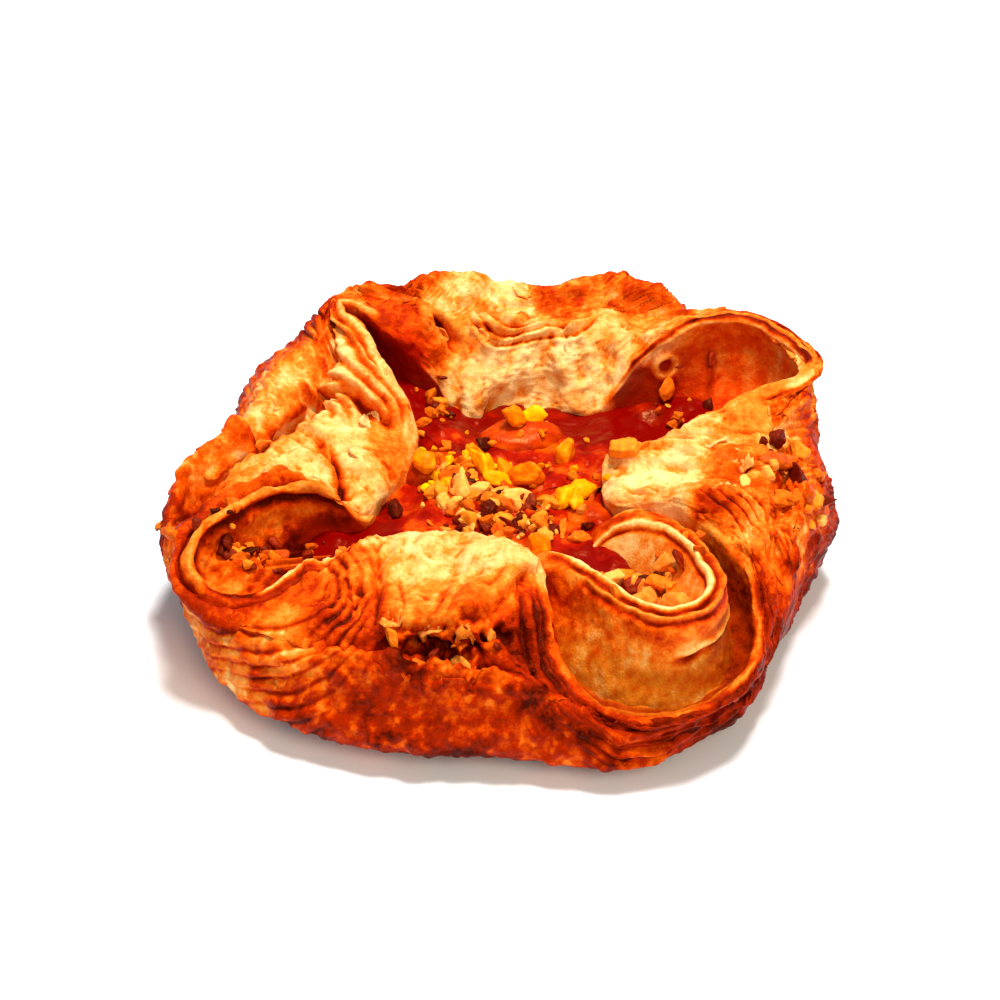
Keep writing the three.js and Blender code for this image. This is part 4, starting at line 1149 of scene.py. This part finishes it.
# The others are scattered: how many, the rows that they lie on, and a place that stays free of them. Each
# flake is a sheet of points on spokes and rings, with a thickness, sunk a little at its fixed end.
FLAKE_COUNT = 170
FLAKE_ROWS = (2.2, 6.6)
FREE_CONTROLS = (28.5, 33.5)
FREE_ROW = 3.5
FLAKE_SPOKES = 20
FLAKE_RINGS = 5
FLAKE_THICKNESS = 0.22
FLAKE_SINK = 0.25


def sample_grid(grid, row, column):
    """Values between a grid's points. Columns wrap round."""
    row = np.clip(row, 0, len(grid) - 1.001)
    r, c = np.floor(row).astype(int), np.floor(column).astype(int)
    f, g = row - r, column - c
    if grid.ndim == 3:
        f, g = f[..., None], g[..., None]
    left, right = c % grid.shape[1], (c + 1) % grid.shape[1]
    near = grid[r, left] * (1 - g) + grid[r, right] * g
    far = grid[r + 1, left] * (1 - g) + grid[r + 1, right] * g
    return near * (1 - f) + far * f


def flake_places(rng):
    """The bold flakes, then the scattered ones, which take their tone from the dough under them."""
    flakes = list(BOLD_FLAKES)
    while len(flakes) < len(BOLD_FLAKES) + FLAKE_COUNT:
        u, v = rng.uniform(0, CONTROLS), rng.uniform(*FLAKE_ROWS)
        if FREE_CONTROLS[0] < u < FREE_CONTROLS[1] and v > FREE_ROW:
            continue
        size = rng.uniform(0.8, 2.4)
        half_u, half_v = size * rng.uniform(0.9, 1.6), size * rng.uniform(0.6, 1.1)
        flakes.append((u, v, half_u, half_v, rng.uniform(0.25, 0.55), None))
    return flakes


def flake_outline(rng, angle):
    """Distances from a flake's middle, ring by ring, with a ragged edge."""
    share = (np.arange(FLAKE_RINGS) + 1)[:, None] / FLAKE_RINGS
    k = np.arange(2, 7)[:, None]
    waves = rng.normal(size=(5, 1)) * np.cos(k * angle + rng.uniform(0, 6, (5, 1))) / k ** 0.5
    return share * (1 + 0.16 * waves.sum(0))


def make_flakes(material, points, tone):
    """Ragged flakes that lie on the dough and lift at one end."""
    rng = np.random.default_rng(23)
    normals = grid_normals(points)
    n_columns = points.shape[1]
    angle = np.linspace(0, 2 * math.pi, FLAKE_SPOKES, endpoint=False)
    count = 2 * FLAKE_RINGS * FLAKE_SPOKES
    all_points, all_faces, all_tones = [], [], []
    for u, v, half_u, half_v, lift, flake_tone in flake_places(rng):
        row = float(np.interp(v, SHELL_PLACES, np.arange(len(SHELL_PLACES))))
        column = u * COLUMNS_PER_CONTROL
        r, c = int(row), int(column) % n_columns
        step_u = np.linalg.norm(points[r, (c + 4) % n_columns] - points[r, c - 4]) / 8 + 0.05
        step_v = np.linalg.norm(points[r + 4, c] - points[r - 4, c]) / 8 + 0.05
        out = flake_outline(rng, angle)
        turn = rng.uniform(-0.6, 0.6)
        across, up = turned(out * half_u * np.cos(angle), out * half_v * np.sin(angle), turn)
        place = row + up / step_v, column + across / step_u
        base, normal = sample_grid(points, *place), sample_grid(normals, *place)
        free = rng.uniform(0, 2 * math.pi) if flake_tone is None else -math.pi / 2
        rise = lift * smooth_step(out * np.cos(angle - free), -0.2, 1) - FLAKE_SINK
        upper = base + normal * (rise + FLAKE_THICKNESS)[..., None]
        lower = base + normal * rise[..., None]
        first = sum(len(p) for p in all_points)
        sheet = np.concatenate([upper, lower[::-1]]).reshape(-1, 3)
        all_points.append(np.vstack([sheet, upper[0].mean(0), lower[0].mean(0)]))
        all_faces.append([ring_faces(2 * FLAKE_RINGS, FLAKE_SPOKES) + first,
                          cap_faces(first, FLAKE_SPOKES, first + count, True),
                          cap_faces(first + count - FLAKE_SPOKES, FLAKE_SPOKES, first + count + 1, False)])
        shade = sample_grid(tone, *place) + rng.uniform(-0.12, 0.04)
        if flake_tone is not None:
            shade = np.full_like(shade, flake_tone)
        shade = np.concatenate([shade, shade[::-1]]).ravel()
        all_tones.append(np.append(shade, [shade[0], shade[-1]]))
    faces = [np.concatenate(kind) for kind in zip(*all_faces)]
    tones = np.concatenate(all_tones)
    fields = {"tone": tones, "stain": 0 * tones}
    return new_mesh("crust_flakes", np.concatenate(all_points), faces, material, fields)


# Where nuts are heaped up under the jam: middle, radius and rise
MOUNDS = [((-7, 3), 5, 1.8), ((-2, -4.5), 5, 1.8), ((4, -4), 4, 1.2), ((8, 4), 5, 0.8)]


def make_filling(material):
    rows, places = filling_rows()
    _, v = grid_places(places, rows.shape[1], CONTROLS)
    lumps = 0.8 * fractal(rows, 6, 3, 51) * smooth_step(v, 0.8, 1.6)
    for middle, radius, rise in MOUNDS:
        lumps = lumps + rise * bell(rows[..., :2], middle, radius)
    sway = 1 + 0.035 * noise(rows, 6, 55)
    points = np.stack([rows[..., 0] * sway, rows[..., 1] * sway, rows[..., 2] + lumps], -1)
    # The jam is painted darker towards the pockets: painted shade.
    fields = {"pocket_shade": smooth_step(np.hypot(rows[..., 0], rows[..., 1]), 15, 24)}
    bottom = (0, 0, FILLING_LEVEL - FILLING_SKIRT)
    return closed_piece("filling", points, bottom, points[-1].mean(0), material, fields)


def unit_sphere(levels):
    """Directions and triangles of an evenly divided ball."""
    ball = bmesh.new()
    bmesh.ops.create_icosphere(ball, subdivisions=levels, radius=1)
    directions = np.array([v.co[:] for v in ball.verts])
    triangles = np.array([[v.index for v in f.verts] for f in ball.faces])
    ball.free()
    return directions, triangles


def make_fruits(material):
    directions, triangles = unit_sphere(5)
    pieces = []
    for i, (at, rise, half, turn) in enumerate(FRUITS):
        lump = 1 + 0.07 * np.sin(4 * directions[:, 0] + 2) * np.cos(3 * directions[:, 1] + turn)
        lump = lump + 0.07 * fractal(directions + i * 9, 0.9, 3, 61)
        p = directions * lump[:, None] * half
        p = np.column_stack([*turned(p[:, 0], p[:, 1], math.radians(turn)), p[:, 2]])
        p = p + (*at, FILLING_LEVEL + rise)
        # Pieces further out, towards the pockets, are painted darker: painted shade.
        pocket_shade = {"pocket_shade": np.full(len(p), smooth_step(math.hypot(*at), 20, 30))}
        pieces.append(new_mesh(f"apricot_chunk_{i + 1}", p, [triangles], material, pocket_shade))
    return pieces


# Chopped nuts: place in plan, half size and kind
NUTS = [
    (1.8, 18.7, 2.2, "yellow"), (5.0, 19.9, 1.8, "yellow"), (-4.8, 11.9, 1.7, "yellow"),
    (-3, 14.6, 1.6, "dark"), (-3.8, 6.7, 2.5, "yellow"), (-1.1, 3.2, 1.9, "yellow"),
    (0.3, 8.6, 2, "yellow"), (3.7, 3.9, 2.7, "yellow"), (9.7, 10.6, 2.5, "yellow"),
    (9.2, -0.2, 2.3, "yellow"), (12.6, 2.9, 2.2, "yellow"), (-12.5, 8.1, 2.2, "yellow"),
    (-6.9, 0.4, 2.2, "cream"), (-4.2, -1, 2.3, "cream"), (-1, -1.6, 2.1, "cream"), (2, -2.6, 2.2, "cream"),
    (-5.6, -6.8, 1.8, "toasted"), (-2.4, -6, 1.5, "dark"), (0.2, -7.6, 1.7, "toasted"),
    (3, -7.4, 1.4, "dark"), (-0.7, -11.7, 1.7, "toasted"), (5.6, -7.6, 1.8, "toasted"),
    (6.6, -10, 1.6, "cream"), (5.1, -13.4, 2, "yellow"), (-17.4, -2.6, 1.8, "dark"),
    (-9.9, 1.4, 2, "toasted"), (7, -2.6, 1.8, "toasted"), (11.4, -1.9, 1.8, "yellow"),
    (-8, 4, 2, "toasted"), (19.5, 4.5, 2.6, "toasted"), (16.4, -20, 2.2, "cream"), (20.5, -22.4, 2, "dark"),
    (21.8, -26.6, 2.5, "cream"), (25.8, -30.2, 2.4, "cream"), (27.5, 28.4, 1.9, "toasted"),
    (35, 25.9, 1.7, "dark"), (35.5, 30.5, 1.6, "dark"), (34.4, 17.6, 2, "dark"), (43.5, 3, 2.3, "dark"),
    (42.7, -4.2, 2.4, "toasted"), (42.7, -9.9, 2.2, "toasted"), (45.4, -0.7, 2, "toasted"),
    (49, -6.6, 2, "toasted"), (46.6, -4.7, 2, "dark"), (50.2, -5.2, 1.9, "dark"),
    (-6.4, -40.2, 1.6, "cream"), (-1.6, -37.6, 1.2, "cream"), (-12.6, -40.3, 1.1, "toasted"),
    (-16.3, -37.6, 1.5, "toasted"), (-10.6, -39.4, 1.3, "dark"), (-37, -12.8, 2.6, "toasted"),
    (-12.5, 27, 1.6, "toasted"), (-10.5, 25.5, 1.4, "toasted"), (20.4, -22, 1.9, "cream"),
    (24.4, -24.4, 2.1, "toasted"), (22.2, -25.8, 1.8, "cream"), (26.2, -27.4, 1.7, "toasted"),
    (19.2, -19.6, 1.6, "toasted"), (24.6, -21.4, 1.6, "cream"),
]

# How far a nut's middle stands out of what it lies on, in half sizes, how the half sizes are scaled, and the
# half size above which a nut gets the fine mesh
NUT_SINK = 0.3
NUT_SCALE = 0.82
YELLOW_SCALE = NUT_SCALE * 1.12
FINE_NUT = 0.85

# Heaps of smaller bits: middle, spread, count, half sizes and kinds
HEAPS = [
    ((-7.5, 3), (2.6, 3.2), 80, (0.4, 1.3), ("toasted", "yellow", "dark", "toasted", "cream", "toasted")),
    ((-2, -3), (5, 1.8), 60, (0.5, 1.5), ("toasted", "cream", "toasted", "cream", "dark")),
    ((1, -8), (5, 1.6), 90, (0.4, 1.3), ("dark", "toasted", "cream", "dark", "toasted")),
    ((-10, 9), (3, 2.4), 18, (0.5, 1.3), ("yellow", "toasted")),
    ((7, 5), (6, 4), 26, (0.4, 1.2), ("yellow", "toasted", "yellow")),
    ((1, 14), (6, 4), 14, (0.4, 0.9), ("yellow", "toasted")),
    ((45, -4), (3.4, 4), 26, (0.5, 1.5), ("toasted", "toasted", "cream", "toasted", "cream", "dark")),
    ((22.5, -23.5), (3.2, 3), 34, (0.5, 1.4), ("toasted", "cream", "dark", "toasted")),
    ((-10, -38.8), (5, 0.8), 12, (0.4, 1.1), ("toasted", "dark", "dark")),
    ((-40.5, -16.5), (3.4, 2.2), 36, (0.5, 1.4), ("toasted", "dark", "toasted")),
    ((-33.5, -12.6), (3.6, 1.3), 26, (0.4, 1.3), ("toasted", "dark")),
    ((30, 24), (5, 4), 12, (0.4, 1.1), ("dark", "toasted")),
    ((-12, 24.5), (1.6, 3), 14, (0.4, 1.1), ("toasted", "dark", "toasted")),
]


def chip_shape(directions, rng, planes=8, sharpness=34):
    """A broken nut: flat faces with worn edges, about 1 in half size."""
    faces = rng.normal(size=(planes, 3))
    faces /= np.linalg.norm(faces, axis=1, keepdims=True)
    reach = rng.uniform(0.55, 1.0, planes)
    facing = np.clip(directions @ faces.T, 0, None) / reach
    radius = (facing ** sharpness).sum(1) ** (-1 / sharpness)
    radius = np.minimum(radius, 1.25)
    radius = radius * (1 + 0.13 * fractal(directions, 0.8, 3, int(rng.integers(1, 900))))
    return directions * radius[:, None]


def random_turn(rng):
    q, _ = np.linalg.qr(rng.normal(size=(3, 3)))
    return q * np.sign(np.linalg.det(q))


def surface_under(pieces):
    """A tree for finding the highest surface of the pieces over a place."""
    points, polygons = [], []
    for piece in pieces:
        first = len(points)
        points += [v.co[:] for v in piece.data.vertices]
        polygons += [[first + k for k in p.vertices] for p in piece.data.polygons]
    return BVHTree.FromPolygons(points, polygons)


def scatter_nuts(ground, materials):
    rng = np.random.default_rng(11)
    fine, coarse = unit_sphere(4), unit_sphere(3)
    kinds = {kind: ([], [], []) for kind in materials}
    bits = [(x, y, half * (YELLOW_SCALE if kind == "yellow" else NUT_SCALE), kind)
            for x, y, half, kind in NUTS]
    for middle, spread, count, (least, most), bit_kinds in HEAPS:
        for i in range(count):
            x, y = np.array(middle) + rng.normal(size=2) * spread
            bits.append((x, y, least + (most - least) * rng.random() ** 2, bit_kinds[i % len(bit_kinds)]))
    for x, y, half, kind in bits:
        over = Vector(((x + SHIFT[0]) * MM, (y + SHIFT[1]) * MM, 0.06))
        hit, normal, _, _ = ground.ray_cast(over, Vector((0, 0, -1)))
        if hit is None:
            continue
        directions, triangles = fine if half > FINE_NUT else coarse
        stretch = rng.uniform((1.0, 0.75, 0.6), (1.55, 1.0, 0.85))
        p = chip_shape(directions, rng) * stretch @ random_turn(rng).T * half
        centre = np.array(hit) / MM - SHIFT + np.array(normal) * half * NUT_SINK
        points, faces, shades = kinds[kind]
        faces.append(triangles + sum(len(q) for q in points))
        points.append(p + centre)
        shades.append(np.full(len(p), rng.uniform(0, 0.45)))
    pieces = []
    for kind, (points, faces, shades) in kinds.items():
        attributes = {"shade": np.concatenate(shades)}
        pieces.append(new_mesh(f"nuts_{kind}", np.concatenate(points), [np.concatenate(faces)],
                               materials[kind], attributes))
    return pieces


# Stage, in metres and watts. Each light's place, energy, size and colour. All face the pastry.
LIGHTS = {
    "key": ((0.06, 0.07, 0.6), 6.2, 0.15, (1, 1, 1)),
    "fill": ((0.25, -0.45, 0.4), 2.2, 0.35, (1, 0.88, 0.7)),
    "side": ((-0.55, -0.3, 0.3), 0.6, 0.4, (1, 1, 1)),
}
LIGHT_TARGET = Vector((0, 0, 0.015))
WORLD_STRENGTH = 0.3
FLOOR_HALF = 2.0


def area_light(name, location, energy, size, colour):
    light = bpy.data.lights.new(name, "AREA")
    light.energy = energy
    light.size = size
    light.color = colour
    lamp = bpy.data.objects.new(name, light)
    lamp.location = location
    lamp.rotation_euler = (LIGHT_TARGET - Vector(location)).to_track_quat("-Z", "Y").to_euler()
    bpy.context.collection.objects.link(lamp)


def make_stage():
    mesh = bpy.data.meshes.new("floor")
    corners = [(x * FLOOR_HALF, y * FLOOR_HALF, 0) for x, y in ((-1, -1), (1, -1), (1, 1), (-1, 1))]
    mesh.from_pydata(corners, [], [(0, 1, 2, 3)])
    mesh.materials.append(floor_material())
    floor = bpy.data.objects.new("floor", mesh)
    bpy.context.collection.objects.link(floor)
    for name, values in LIGHTS.items():
        area_light(name, *values)

    world = bpy.data.worlds.new("studio")
    world.use_nodes = True
    background = world.node_tree.nodes["Background"].inputs
    background["Color"].default_value = (1, 1, 1, 1)
    background["Strength"].default_value = WORLD_STRENGTH
    bpy.context.scene.world = world
    bpy.context.scene.view_settings.view_transform = "Standard"


# The photograph's view: distance and aim in mm, elevation in degrees, lens and sensor in mm, and the
# picture's shift as a share of its width
CAMERA_DISTANCE = 380
CAMERA_ELEVATION = 37
CAMERA_AIM = (-0.13, -5.78, 17)
CAMERA_LENS = 85.5
CAMERA_SENSOR = 36
CAMERA_SHIFT = (-0.001, 0.012)


def make_camera():
    data = bpy.data.cameras.new("camera")
    data.lens = CAMERA_LENS
    data.sensor_width = CAMERA_SENSOR
    data.shift_x, data.shift_y = CAMERA_SHIFT
    data.clip_start = 0.01
    camera = bpy.data.objects.new("camera", data)
    elevation = math.radians(CAMERA_ELEVATION)
    back = Vector((0, -math.cos(elevation), math.sin(elevation)))
    camera.location = (Vector(CAMERA_AIM) + back * CAMERA_DISTANCE) * MM
    camera.rotation_euler = (-back).to_track_quat("-Z", "Y").to_euler()
    bpy.context.collection.objects.link(camera)
    bpy.context.scene.camera = camera


def dress(piece, slot, *nodes):
    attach(piece, "root")
    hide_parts(*nodes)


make_camera()
make_stage()

baked = dough_material()
shell_points, shell_looks = shell_fields()
shell = make_shell(baked, shell_points, shell_looks)
flakes = make_flakes(baked, shell_points, shell_looks["tone"])
curl = make_curl(baked)
filling = make_filling(jam_material())
chunks = make_fruits(fruit_material())
dress(shell, "crust", "pastry")
dress(curl, "crust", "pastry")
dress(flakes, "crust", "pastry")
dress(filling, "filling", "apricot_filling")
for number, chunk in enumerate(chunks, 1):
    dress(chunk, "apricot", f"apricot_piece_{number}")

nut_kinds = {
    "yellow": nut_material("nut_yellow", (214, 84, 0), (240, 146, 0), (248, 196, 8), 0.35),
    "toasted": nut_material("nut_toasted", (170, 50, 2), (216, 98, 8), (232, 146, 36), 0.45),
    "cream": nut_material("nut_cream", (214, 104, 20), (230, 150, 54), (240, 184, 96), 0.5),
    "dark": nut_material("nut_dark", (44, 2, 1), (96, 10, 2), (160, 40, 6), 0.5),
}
for piece in scatter_nuts(surface_under([shell, curl, filling, *chunks]), nut_kinds):
    dress(piece, "nuts", "pastry", "apricot_filling")

bpy.context.view_layer.update()
